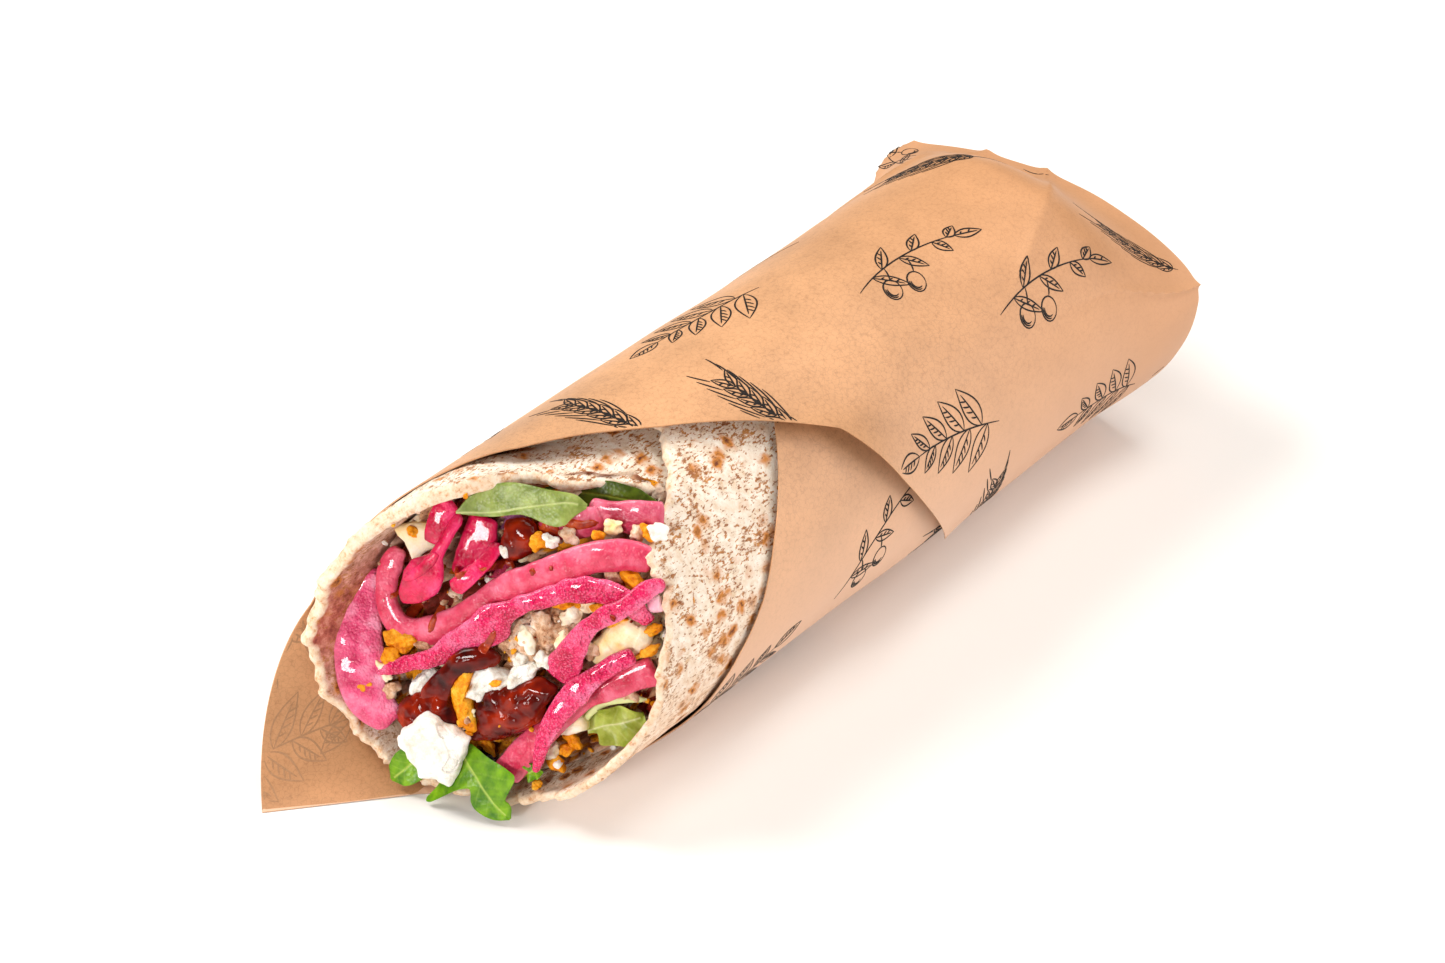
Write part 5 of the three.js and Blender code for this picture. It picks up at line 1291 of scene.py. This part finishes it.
# Folds and ends of the same strips that stand beside them.
ONION_FOLDS = [
    ("onion_hot_back", "deep", dict(
        path=[[-14.8, 26.6, 0.2], [-16.2, 23.4, 1.3], [-17, 19.8, 1.7], [-17.2, 17, 1.5]],
        widths=[4.4, 4.8, 4.6, 3.4], thick=1.6, buckle=0.3, seed=62)),
    ("onion_hot_fold", "deep", dict(
        path=[[-22, 9.2, 4.4], [-19.8, 11, 4.9], [-17.7, 13.1, 4.9], [-16.2, 15.4, 4.7], [-15.2, 17.4, 4.3]],
        widths=[1.2, 2.2, 2.4, 2, 1.4], thick=1.5, buckle=0.2, seed=63)),
    ("onion_heart_end", "heart", dict(
        path=[[28.5, 16.6, 0.4], [29.6, 12.9, 0.6]], widths=[2.6, 3.6], thick=1.9, blunt=0.8, seed=64)),
]
# Those of a lighter and of a darker pink than the rest.
PALE_ONIONS = ("onion_big_ring", "onion_lower_band", "onion_top_right", "onion_heart_end")
DARK_ONIONS = ("onion_thin_streak", "onion_hot_ribbon", "onion_hot_back", "onion_hot_fold")


class WRAP_OT_onions(bpy.types.Operator):
    """Makes the strips of pickled onion"""
    bl_idname = "wrap.onions"
    bl_label = "Pickled onion"

    def execute(self, context):
        finishes = {
            "grained": pickled_onion("Pickled onion, skin side", "#C80042", "#EC1260", "#FF84AE", 0.8),
            "slab": pickled_onion("Pickled onion, outer ring", "#C01C50", "#E85080", "#FAA8C4", 0.3),
            "deep": pickled_onion("Pickled onion, deep dyed", "#A4002A", "#DA064A", "#F2407C", 0.15),
            "pale": pickled_onion("Pickled onion, flesh side", "#C01E40", "#DE4062", "#F27E9A", 0.1),
            "heart": pickled_onion("Pickled onion, pale heart", "#E88AA8", "#F6C0D0", "#FDE8EE", 0.1),
            # Painted shade: a darker copy of the onion for the slices that lie in shade under the bread's top.
            "shaded": pickled_onion("Pickled onion, painted shade", "#9C1A3A", "#C64060", "#E47890", 0.1),
        }
        for i, (node, finish, sizes) in enumerate(ONIONS + ONION_FOLDS):
            solid, flow, marks = strip(**sizes)
            shade = "_pale" * (node in PALE_ONIONS) + "_dark" * (node in DARK_ONIONS)
            replaced = [node] if i < len(ONIONS) else ()
            piece(node + "_strip", solid, finishes[finish], "pickled_onion" + shade, replaced, flow, marks)
        return {"FINISHED"}


LEAVES = [
    ("rocket_leaf", "green", dict(
        path=[[-7.2, -24.2, 4.2], [-4.7, -26, 6.4], [-2, -28.5, 7.5], [0.2, -31, 7.9], [2.8, -33.4, 8],
              [5.6, -35.4, 7.6]],
        left=[0.5, 4, 9, 12.4, 13, 12, 4.6, 2.4, 3, 4.2, 4.4, 4, 3.4, 2.6, 1.6, 0.2],
        right=[0.5, 3, 3.6, 4.2, 4.6, 5.2, 6, 7, 8, 8.4, 7.8, 5.4, 2.4, 2.6, 2, 0.2],
        cup=0.05, ripples=2, wave=0.35, seed=71)),
    ("rocket_side_leaf", "green", dict(
        path=[[-13.2, -25.4, 3.4], [-15.4, -27.6, 5.4], [-18.2, -30.8, 6.4], [-21, -34, 6.2]],
        left=[0.5, 2.2, 3.2, 3.7, 3.7, 3.3, 2.6, 0.3], right=[0.5, 2.2, 3.2, 3.8, 3.8, 3.4, 2.6, 0.3],
        cup=0.1, ripples=1.5, wave=0.3, seed=72)),
    ("leaf_light", "pale", dict(
        path=[[-12.6, 25.3, 2.7], [-5, 26.8, 1.9], [0.4, 28.6, 0.9], [5, 30, 0.2], [9.4, 31, -0.9], [12.6, 30.6, -2]],
        left=[0.2, 0.5, 0.7, 0.8, 0.9, 1, 1.3, 2.3, 3.7, 4.6, 4.4, 2.9, 0.4],
        right=[0.2, 2.6, 4.3, 5.1, 5.5, 5.5, 5.1, 4.4, 3.5, 2.7, 2.1, 1.7, 0.4],
        cup=0.08, wave=0.25, ripples=2, lean=-12, seed=73)),
    ("leaf_dark", "dark", dict(
        path=[[-6, 29.4, -4.6], [0.8, 30.2, -6.2], [7.6, 30.6, -7.6], [14.5, 30.8, -8.8], [21.4, 30.4, -9.8],
              [25.4, 30, -10.6]],
        left=[0.4, 2, 2.8, 2.8, 2.8, 2.4, 0.5], right=[0.4, 1.4, 2.2, 2.6, 3, 2.6, 0.5],
        cup=0.1, wave=0.3, ripples=2, lean=-20, seed=74)),
    ("leaf_curled", "curled", dict(
        path=[[17, -17, -2.4], [20.4, -14.6, -0.6], [24.4, -12.8, -0.5], [28.4, -11, -2.2]],
        left=[0.6, 2.6, 4.4, 4.2, 1], right=[0.6, 3.4, 4.4, 3.4, 1], cup=0.4, wave=1.1, ripples=2.5, seed=75)),
]
LEAF_SLOTS = {"green": "green_leaf", "dark": "green_leaf", "pale": "pale_leaf", "curled": "pale_leaf"}


class WRAP_OT_leaves(bpy.types.Operator):
    """Makes the salad leaves"""
    bl_idname = "wrap.leaves"
    bl_label = "Salad leaves"

    def execute(self, context):
        finishes = {
            "green": fresh_leaf("Rocket leaf", "#407400", "#7AA808", "#BCD060"),
            "dark": fresh_leaf("Dark salad leaf", "#33420A", "#566A0C", "#8C9A30"),
            "pale": fresh_leaf("Pale salad leaf", "#6E7E32", "#9AA858", "#C8D08C"),
            "curled": fresh_leaf("Curled salad leaf", "#8C9E2C", "#BECA60", "#E8ECB4"),
        }
        for node, finish, sizes in LEAVES:
            solid, flow, marks = leaf(**sizes)
            piece(node + "_blade", solid, finishes[finish], LEAF_SLOTS[finish], [node], flow, marks)
        solid, flow, marks = leaf(
            [[6.2, -27, 3.6], [8.4, -25.2, 5], [10.6, -22.6, 5.6]], [0.5, 1.6, 2, 1.6, 0.3], [0.5, 1.6, 2, 1.6, 0.3],
            seed=76)
        piece("rocket_small_lobe", solid, finishes["green"], "green_leaf", (), flow, marks)
        solid, flow, marks = strip(
            [[16.6, -14.6, 0], [18.4, -11, 0.8], [21.4, -8.4, 1], [25, -7, 0.8], [29.2, -6.2, 0]],
            [1.2, 1.5, 1.5, 1.4, 1.2], 1.1, waves=0.1, seed=77)
        marks = {"vein": 0.7 + 0 * marks["edge"]}
        piece("curled_leaf_stem", solid, finishes["curled"], "pale_leaf", (), flow, marks)
        return {"FINISHED"}


# Pieces with an outline, as [across, up] in the mouth: [node, slot, sizes].
MOUNDS = [
    ("feta_chunk", "feta", dict(
        outline=[[-18.6, -20.9], [-17.3, -19.5], [-15.5, -18], [-13.2, -16.8], [-11.1, -16.9], [-8.6, -18.4],
                 [-6.8, -19.5], [-4.4, -20], [-5.1, -24.6], [-6.5, -28.2], [-7.7, -30.8], [-11.2, -31],
                 [-13.7, -30], [-14.1, -28], [-15.8, -26.6], [-16.3, -23.9], [-18, -22.9]],
        out=9.2, high=2.6, deep=5.4, power=5, smooth=1, tilt=(-0.16, 0.05), rough=0.85, grain=3.2, fine=0.14, seed=5,
        rows=64, columns=220)),
    ("sauce_left", "red_sauce", dict(
        outline=[[-13.7, -12.4], [-17.7, -14.1], [-20.7, -16.6], [-22, -19.1], [-21.1, -21.3], [-19.2, -22.7],
                 [-17.2, -22.4], [-14.8, -22.4], [-12.7, -22.6], [-10.2, -22.9], [-8.5, -22.8], [-6, -22.9],
                 [-6.1, -20.5], [-7.6, -16.7], [-8.9, -14.1], [-9.8, -12.2]],
        out=4.6, high=3.2, deep=3.4, power=2.6, smooth=3, rough=0.36, grain=2.6, fine=0.08, seed=3,
        rows=44, columns=160)),
    ("sauce_middle", "red_sauce", dict(
        outline=[[-5.3, -12.3], [-2.7, -10.6], [0.9, -8.3], [4.1, -6.5], [8.4, -4.4], [12, -6.2], [11.3, -8.5],
                 [9.6, -11.1], [9.2, -14.6], [6.3, -16.5], [3.1, -19.1], [-0.9, -21.1], [-5, -21.8], [-6.3, -21.6],
                 [-5.8, -19.9], [-4.6, -18], [-4.9, -15.4]],
        out=4, high=2.8, deep=3.4, power=3.2, smooth=2, rough=0.42, grain=2.4, fine=0.1, seed=4, rows=44, columns=160)),
    ("sauce_top", "red_sauce", dict(
        outline=[[-3.5, 24.6], [0.1, 26], [2.6, 24.9], [3.9, 23], [3, 20.9], [3.3, 19.4], [0.8, 17.2], [-1.8, 16],
                 [-3.5, 16.7], [-3.9, 18.8], [-3.6, 21.9]],
        out=-0.6, high=2.4, deep=2.6, power=2.4, smooth=4, rough=0.2, grain=2.6, fine=0.05, seed=8)),
    ("crust_wedge", "fried_crust", dict(
        outline=[[-8.4, -7.5], [-7.2, -5.4], [-5.6, -6.3], [-5, -8.1], [-6.1, -10.1], [-6.6, -12], [-5.4, -12.8],
                 [-4.3, -14.6], [-3.6, -17.2], [-3.1, -19.1], [-5.1, -20.2], [-7.6, -18.4], [-8.9, -15.3],
                 [-9.7, -12.6], [-10.1, -10.3], [-9.5, -9.1]],
        out=4.9, high=2.4, deep=3, power=3, smooth=1, rough=0.24, grain=1.5, fine=0.1, seed=12)),
    ("feta_piece_a", "feta", dict(
        outline=[[-5.7, -7.6], [-4.9, -5.6], [-2.2, -4.5], [-0.4, -5.6], [1.3, -6.2], [1.3, -8], [-0.1, -9.4],
                 [-2.4, -10.9], [-3.4, -12.3], [-7.1, -12.7], [-7.6, -11.9], [-6.2, -10.2]],
        out=4.4, high=2, deep=2.4, power=3, smooth=1, rough=0.75, grain=1.9, fine=0.16, seed=21)),
    ("feta_piece_b", "feta", dict(
        outline=[[1.5, -6.9], [1.9, -5.2], [3.8, -3.2], [5.4, -1.8], [6.6, -1.7], [7.8, -2.9], [6.6, -4.9],
                 [4.9, -6.8], [2.8, -9], [1.7, -8.8]],
        out=4, high=1.8, deep=2.4, power=3, smooth=1, rough=0.65, grain=1.7, fine=0.16, seed=22)),
    ("feta_piece_c", "feta", dict(
        outline=[[-19.7, -15.5], [-19.2, -12.7], [-17.4, -10.6], [-15.8, -9.4], [-14.2, -9.7], [-14.4, -12.1],
                 [-14.8, -14.6], [-18.5, -16.2]],
        out=2.9, high=1.8, deep=2.4, power=3.4, smooth=1, rough=0.6, grain=1.7, fine=0.16, seed=23)),
    ("falafel_piece", "falafel_filling", dict(
        outline=[[-1.6, 0.2], [-0.6, 2.8], [2, 5.2], [5.7, 7.4], [9.4, 8], [12.7, 7.3], [13.8, 4.4], [11.9, 0.9],
                 [10.6, -2.4], [8, -4.5], [4.6, -5.2], [1.2, -5], [-1, -3.1]],
        out=0.2, high=3.2, deep=3, power=2.2, smooth=1, rough=1.35, grain=1.9, fine=0.25, seed=31,
        rows=64, columns=220)),
    ("egg_piece_right", "boiled_egg", dict(
        outline=[[17.4, -0.4], [17.4, 3.7], [19, 6.4], [22, 8.9], [24.3, 10.4], [26.5, 10.2], [28.4, 9.2],
                 [28.9, 6.5], [28.1, 4.1], [26.5, 2.2], [24.5, 0.6], [21, -0.4]],
        out=0.2, high=2.6, deep=2.4, power=2.4, smooth=2, rough=0.5, grain=2.6, fine=0.12, seed=33,
        rows=44, columns=150)),
    ("egg_piece_low", "boiled_egg", dict(
        outline=[[11.8, -17.5], [12.1, -14.2], [14.4, -12.3], [15.9, -10.7], [16.7, -12.3], [17.9, -13.5],
                 [18.1, -15.2], [15.4, -16.6], [13.7, -17.6]],
        out=1.2, high=1.6, deep=2, power=4, smooth=1, rough=0.16, grain=2.2, fine=0.06, seed=34)),
    ("egg_piece_top", "boiled_egg", dict(
        outline=[[-27, 17.8], [-23.2, 19.4], [-18.9, 20.4], [-18, 16.8], [-17.6, 15.6], [-20.3, 13.3],
                 [-22.1, 11.2], [-23.3, 13.3], [-24.5, 15.2], [-26.3, 16.5]],
        out=-1.2, high=1.8, deep=2.2, power=3, smooth=1, rough=0.14, grain=2.4, fine=0.05, seed=35)),
    ("olive_piece", "olive", dict(
        outline=[[-7.2, -27], [-5.3, -25.4], [-3, -24.5], [-0.7, -24.3], [0.2, -25.2], [-0.5, -27.4], [-2.7, -28.6],
                 [-5.3, -28.5]],
        out=2.4, high=1.8, deep=2, power=2.2, smooth=4, rough=0.08, grain=2, fine=0.03, seed=41)),
]


class WRAP_OT_lumps(bpy.types.Operator):
    """Makes the pieces of feta, falafel, egg, crust and olive, and the pools of sauce"""
    bl_idname = "wrap.lumps"
    bl_label = "Cheese, egg and sauce"

    def execute(self, context):
        finishes = {
            "feta": feta_cheese(), "red_sauce": chilli_sauce(), "fried_crust": fried_crust(),
            "falafel_filling": falafel_inside(), "boiled_egg": boiled_egg(), "olive": black_olive(),
        }
        for node, slot, sizes in MOUNDS:
            piece(node + "_lump", mound(**sizes), finishes[slot], slot, [node], sharp=70)
        solid, flow, _ = strip(
            [[-0.9, -2.9, 2.4], [-3.4, -3.3, 4.2], [-6.4, -4.2, 5], [-9, -6.4, 5.2], [-11.3, -9.6, 5.2],
             [-12.6, -13, 5.2], [-13, -16.5, 5.2]],
            [2.6, 4.4, 5, 4.6, 5, 6.4, 7], 3.2, waves=0.4, buckle=0.4, seed=9, around=40)
        piece("sauce_arch_lump", solid, finishes["red_sauce"], "red_sauce", ["sauce_arch"], flow, sharp=70)
        return {"FINISHED"}


# ---- Small bits and loose crumbs ----

CRUST, INSIDE, EGG, FETA, CHILLI = "fried_crust", "falafel_filling", "boiled_egg", "feta", "red_sauce"
# Bits that lie in known places: [kind, across, up, out, size].
BITS = [
    (CRUST, -23.1, -5.1, 2.2, (3.4, 2.6, 1.6)), (CRUST, -21, -4.2, 2.6, (2.4, 1.6, 1.4)),
    (CRUST, -24.2, -8.4, 3.2, (2.6, 1.8, 1.4)), (CRUST, -28.9, -15.4, 4.6, (2.8, 1, 1.1)),
    (INSIDE, -23.4, -15.4, 3.6, (2, 1.7, 1.4)), (CRUST, 12.5, -23.3, 2.6, (2.2, 1.6, 1.3)),
    (CRUST, 14.7, -17.8, 1.2, (3, 1, 1.2)), (CRUST, -2.5, -23, 2.6, (3, 1.2, 1.2)),
    (CRUST, 24.4, 18.4, 0.6, (3, 1.7, 1.4)), (CRUST, 27.3, 17, 0.4, (1.9, 1.2, 1.2)),
    (CRUST, 29.2, 9.2, 0.8, (2.2, 1.2, 1.2)), (CRUST, 28.6, 4.6, 1.6, (3, 1.2, 1.4)),
    (CRUST, 21.6, 9.6, 1.4, (3, 1.1, 1.3)), (CRUST, 18.4, 11.4, 1.6, (2.2, 1.2, 1.2)),
    (CRUST, 12.3, 11, 1.4, (2.8, 1.5, 1.4)), (CRUST, 25.4, 27.6, -2.4, (2, 1.2, 1.2)),
    (CRUST, 15.8, 25.4, -1.4, (1.4, 1, 1)), (CRUST, 4, 21.8, 0.2, (1.9, 2.1, 1.3)),
    (CRUST, 6.4, 12.4, 1.2, (2.6, 1.2, 1.2)), (CRUST, 10.2, 13.4, 0.9, (2.2, 1.2, 1.2)),
    (CRUST, -22.3, 18.2, 0.4, (1, 1.4, 0.8)), (CRUST, -0.4, -7.4, 6.2, (1.3, 0.6, 0.5)),
    (CRUST, -6.2, -17.2, 6.6, (1.4, 1.1, 0.9)), (CRUST, 9, -28.6, 3.4, (1.1, 0.9, 0.8)),
    (INSIDE, 23.2, 27.2, -2.6, (1.7, 1.5, 1.4)), (INSIDE, 9.8, 24, -1.2, (2.2, 1.5, 1.3)),
    (INSIDE, 20.2, 18.6, 0.4, (2, 1.3, 1.2)), (INSIDE, 4.4, 3, 3, (2.4, 2, 1.5)),
    (INSIDE, 11.4, 4.4, 2.2, (2, 2.2, 1.4)), (INSIDE, 2.8, -2, 3.2, (1.6, 1.3, 1.1)),
    (INSIDE, 8.4, -1, 3, (1.9, 1.6, 1.2)), (INSIDE, 0.6, 0.4, 2.6, (1.7, 1.4, 1.1)),
    (INSIDE, 7.6, 5.6, 2.6, (2.2, 1.6, 1.3)), (INSIDE, 17.4, 2.4, 2.6, (1.6, 1.9, 1.3)),
    (INSIDE, 25.4, -5.6, 0.2, (3, 1.4, 1.3)), (INSIDE, -17.7, -4.6, 2.4, (2.6, 1, 1)),
    (INSIDE, 21, -6.9, 0.4, (2.4, 1.2, 1.2)), (EGG, 12.2, 8.2, 1.6, (2.2, 1.5, 1.2)),
    (EGG, 15.6, 11.4, 1.4, (1.9, 1.6, 1.2)), (EGG, 18.2, 27.2, -2.6, (2, 1.7, 1.3)),
    (EGG, 11.4, -21.4, 2.6, (1.3, 2.3, 1.1)), (EGG, -5.4, -15.2, 6.2, (1.3, 1.6, 0.8)),
    (FETA, 27.4, 28.4, -2.2, (2.2, 1.9, 1.5)), (FETA, 6.6, 22.8, 0.3, (2.1, 1.2, 1)),
    (FETA, -2.4, 18.9, 1.2, (1, 1.4, 0.8)), (FETA, 13.1, -23, 3.4, (0.9, 0.8, 0.7)),
    (EGG, -25.4, -11.8, 3.6, (1.1, 2.4, 0.7)), (EGG, 4.5, 2.4, 3.5, (2.1, 3.2, 1.6)),
    (EGG, 11.9, 3.3, 3.3, (1.7, 2.6, 1.5)), (FETA, 8.3, -1.2, 3.8, (1.9, 1.9, 1.4)),
    (FETA, 3.6, -2.3, 3.9, (1.5, 1.5, 1.2)), (INSIDE, 7.3, 6.2, 2.9, (2.7, 2.3, 1.6)),
    (EGG, 13.1, 9.4, 1.9, (1.9, 1.9, 1.4)), (CRUST, 9.8, 10.8, 1.6, (2.8, 1.4, 1.3)),
    (CRUST, 14.2, -20.2, 1.6, (2.2, 1.2, 1.1)), (EGG, 10.6, -20.4, 2.2, (1.4, 2.4, 1.1)),
]
# Smears of sauce that lie on what is under them: a path of [across, up], and its widths.
SMEARS = [
    ([[-22.2, -1], [-21.4, 0.6], [-20.3, 2.2], [-18.9, 3]], [1.6, 1.5, 1.2, 1.9]),
    ([[-16.4, -1.3], [-15.8, 1], [-14.8, 3.6]], [0.7, 1, 1.4]), ([[3.6, 16.6], [5, 16.7]], [1.3, 1.1]),
    ([[7.8, 18.1], [8.5, 18.3]], [0.8, 0.7]), ([[-0.4, 27], [2.9, 26], [5.9, 24.2], [7.6, 23.4]], [1.8, 3.2, 3, 1.4]),
    ([[-4.2, -1.9], [-2.9, 0.6], [-1.6, 3.6]], [1.6, 1.3, 0.7]),
    ([[-13.4, 12.2], [-11.2, 12.6], [-8.8, 14.4]], [1.2, 1.6, 0.8]),
    ([[-25.6, 3.2], [-24.8, 4.8], [-23.2, 5.8]], [0.8, 1.6, 1.2]),
    ([[7.6, 26], [11.4, 26.4], [15, 27.4]], [0.8, 1.6, 0.9]), ([[-6.6, 15.4], [-3.4, 14.4], [-0.6, 15.4]], [1, 1.4, 1]),
    ([[16.2, -18.6], [18.4, -18.9], [20.4, -19.6]], [1.6, 2.6, 1.4]),
]


def landing(tree, across, up):
    """Where a crumb let go 40 mm out of the mouth comes down, within 60 mm: its point, normal and face there."""
    return tree.ray_cast(Vector(mouth_point([across, up, 40])), Vector(-MOUTH_OUT), 60)[:3]


class WRAP_OT_crumbs(bpy.types.Operator):
    """Scatters loose crumbs over what shows in the mouth, each let down until it lies on something"""
    bl_idname = "wrap.crumbs"
    bl_label = "Loose crumbs"

    def execute(self, context):
        settings = context.scene.wrap_filling
        heap = [o for o in bpy.data.objects if o.type == "MESH" and o.get("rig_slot") not in (None, "kraft_paper")]
        if not heap:
            raise RuntimeError("there is nothing for the crumbs to lie on: make the filling first")
        points, faces, owner = [], [], []
        for o in heap:
            co = np.empty(3 * len(o.data.vertices), np.float32)
            o.data.vertices.foreach_get("co", co)
            start = sum(len(p) for p in points)
            points.append(co.reshape(-1, 3) / MM + ORIGIN)
            faces += [[start + v for v in p.vertices] for p in o.data.polygons]
            owner += [o["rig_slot"]] * len(o.data.polygons)
        tree = BVHTree.FromPolygons(np.concatenate(points).tolist(), faces)
        random = np.random.default_rng(settings.seed)
        finishes = {
            INSIDE: falafel_inside(), CRUST: fried_crust(), FETA: feta_cheese(), CHILLI: chilli_sauce(),
            EGG: boiled_egg(),
        }
        for slot, name in ((CRUST, "crust_bits"), (INSIDE, "falafel_bits"), (EGG, "egg_bits"), (FETA, "feta_bits")):
            solids = [
                lump(at[:3], at[3], 40 * math.sin(7 * i), 100 + i, rough=0.3, grain=1.0, rows=26, columns=40)
                for i, (kind, *at) in enumerate(BITS) if kind == slot]
            piece(name, joined([faces_out(*solid) for solid in solids]), finishes[slot], slot, sharp=70)
        smears = []
        for i, (path, widths) in enumerate(SMEARS):
            flat, _, _ = smooth_path([[*place, 0] for place in path], np.linspace(0, 1, 9))
            heights = [(np.array(landing(tree, *place[:2])[0]) - MOUTH_CENTRE) @ MOUTH_OUT for place in flat]
            flat[:, 2] = np.convolve(np.pad(heights, 1, mode="edge"), [0.25, 0.5, 0.25], mode="valid")
            solid, _, _ = strip(flat, 1.3 * np.array(widths), 0.7, waves=0.35, buckle=0.1, seed=90 + i, around=20)
            smears.append(faces_out(*solid))
        piece("sauce_smears", joined(smears), sauce_film(), CHILLI, sharp=70)
        # How readily a crumb stays on what it falls on, and the crumbs: [name, slot, share of all, size].
        chance = {
            INSIDE: 1.0, "flatbread": 0.35, CHILLI: 0.08, CRUST: 0.3, EGG: 0.12, "pickled_onion_pale": 0.03,
            "pickled_onion": 0.02,
        }
        kinds = [
            ("falafel_crumbs", INSIDE, 0.42, 0.9), ("crust_crumbs", CRUST, 0.3, 0.8),
            ("feta_crumbs", FETA, 0.16, 1.0), ("sauce_drops", CHILLI, 0.06, 0.7),
        ]
        sphere, quads, triangles = ball(5, 9)
        for name, slot, part, big in kinds:
            solids = []
            while len(solids) < part * settings.crumbs:
                across, up = random.uniform(-32, 33), random.uniform(-32, 33)
                if (across / MOUTH_RADIUS) ** 2 + (up / MOUTH_RADIUS) ** 2 > 1:
                    continue
                point, normal, face = landing(tree, across, up)
                if point is None or random.random() > chance.get(owner[face], 0):
                    continue
                size = big * (0.35 + 0.9 * random.random() ** 2.5) * np.array([1, 0.8, 0.6])
                size = size * random.uniform(0.8, 1.2, 3)
                axes = np.linalg.qr(random.normal(size=(3, 3)))[0]
                rough = 1 + 0.25 * random.uniform(-1, 1, len(sphere))[:, None]
                body = (sphere * rough * size) @ axes + np.array(point) + 0.25 * size.mean() * np.array(normal)
                solids.append(faces_out(body, quads, triangles))
            piece(name, joined(solids), finishes[slot], slot, sharp=50)
        return {"FINISHED"}


# ---- The studio ----

class WRAP_OT_studio(bpy.types.Operator):
    """Makes the pale floor, the soft lights and the camera"""
    bl_idname = "wrap.studio"
    bl_label = "Studio"

    def execute(self, context):
        settings = context.scene.wrap_studio
        scene = context.scene
        scene.view_settings.view_transform = "Standard"
        # Matt emulsion paint on board, too smooth to show any grain.
        material, add, _ = begin("Studio floor, painted")
        shader = add("BsdfPrincipled", {
            "Base Color": (*settings.floor, 1), "Roughness": 0.9, "Specular IOR Level": 0.1})
        add("OutputMaterial", {"Surface": shader})
        mesh = bpy.data.meshes.new("studio_floor")
        corners = [(x * FLOOR_HALF, y * FLOOR_HALF, 0) for x, y in ((-1, -1), (1, -1), (1, 1), (-1, 1))]
        mesh.from_pydata(corners, [], [(0, 1, 2, 3)])
        mesh.materials.append(material)
        floor = bpy.data.objects.new("studio_floor", mesh)
        scene.collection.objects.link(floor)

        world = bpy.data.worlds.new("studio_world")
        world.use_nodes = True
        background = world.node_tree.nodes["Background"]
        background.inputs["Color"].default_value = SKY_COLOUR
        background.inputs["Strength"].default_value = SKY_STRENGTH
        scene.world = world

        for name, azimuth, elevation, distance, size, setting, share, colour in LIGHTS:
            out = Vector((math.sin(azimuth * DEG) * math.cos(elevation * DEG),
                          -math.cos(azimuth * DEG) * math.cos(elevation * DEG), math.sin(elevation * DEG)))
            lamp = bpy.data.lights.new(name, "AREA")
            lamp.shape, lamp.size, lamp.energy, lamp.color = "SQUARE", size, share * getattr(settings, setting), colour
            light = bpy.data.objects.new(name, lamp)
            light.matrix_world = Matrix.Translation(out * distance) @ out.to_track_quat("Z", "Y").to_matrix().to_4x4()
            scene.collection.objects.link(light)

        camera = bpy.data.objects.new("camera", bpy.data.cameras.new("camera"))
        camera.data.lens = SENSOR_WIDTH * FOCAL_PIXELS / PICTURE_PIXELS
        camera.data.sensor_width = SENSOR_WIDTH
        camera.data.clip_start = 0.01
        camera.data.dof.use_dof = False
        camera.matrix_world = (Matrix.Translation(CAMERA_TARGET + CAMERA_BACK * CAMERA_DISTANCE)
                               @ CAMERA_BACK.to_track_quat("Z", "Y").to_matrix().to_4x4())
        scene.collection.objects.link(camera)
        scene.camera = camera
        return {"FINISHED"}


class WRAP_PT_panel(bpy.types.Panel):
    """Lists the wrap's pieces and their settings"""
    bl_label = "Falafel Wrap"
    bl_idname = "WRAP_PT_panel"
    bl_space_type = "VIEW_3D"
    bl_region_type = "UI"
    bl_category = "Wrap"

    def draw(self, context):
        for operator in OPERATORS:
            self.layout.operator(operator.bl_idname)
        for group, kind in SETTINGS.items():
            box = self.layout.box()
            box.label(text=kind.__name__)
            for name in kind.__annotations__:
                box.prop(getattr(context.scene, group), name)


OPERATORS = (
    WRAP_OT_paper, WRAP_OT_print, WRAP_OT_bread, WRAP_OT_filling, WRAP_OT_onions, WRAP_OT_leaves, WRAP_OT_lumps,
    WRAP_OT_crumbs, WRAP_OT_studio,
)
SETTINGS = {
    "wrap_paper": PaperSettings, "wrap_bread": BreadSettings, "wrap_filling": FillingSettings,
    "wrap_studio": StudioSettings,
}


def register():
    for kind in (*SETTINGS.values(), *OPERATORS, WRAP_PT_panel):
        bpy.utils.register_class(kind)
    for group, kind in SETTINGS.items():
        setattr(bpy.types.Scene, group, bpy.props.PointerProperty(type=kind))


def unregister():
    for group in SETTINGS:
        delattr(bpy.types.Scene, group)
    for kind in reversed((*SETTINGS.values(), *OPERATORS, WRAP_PT_panel)):
        bpy.utils.unregister_class(kind)


def main():
    register()
    for operator in OPERATORS:
        group, name = operator.bl_idname.split(".")
        getattr(getattr(bpy.ops, group), name)()


if __name__ == "__main__":
    main()
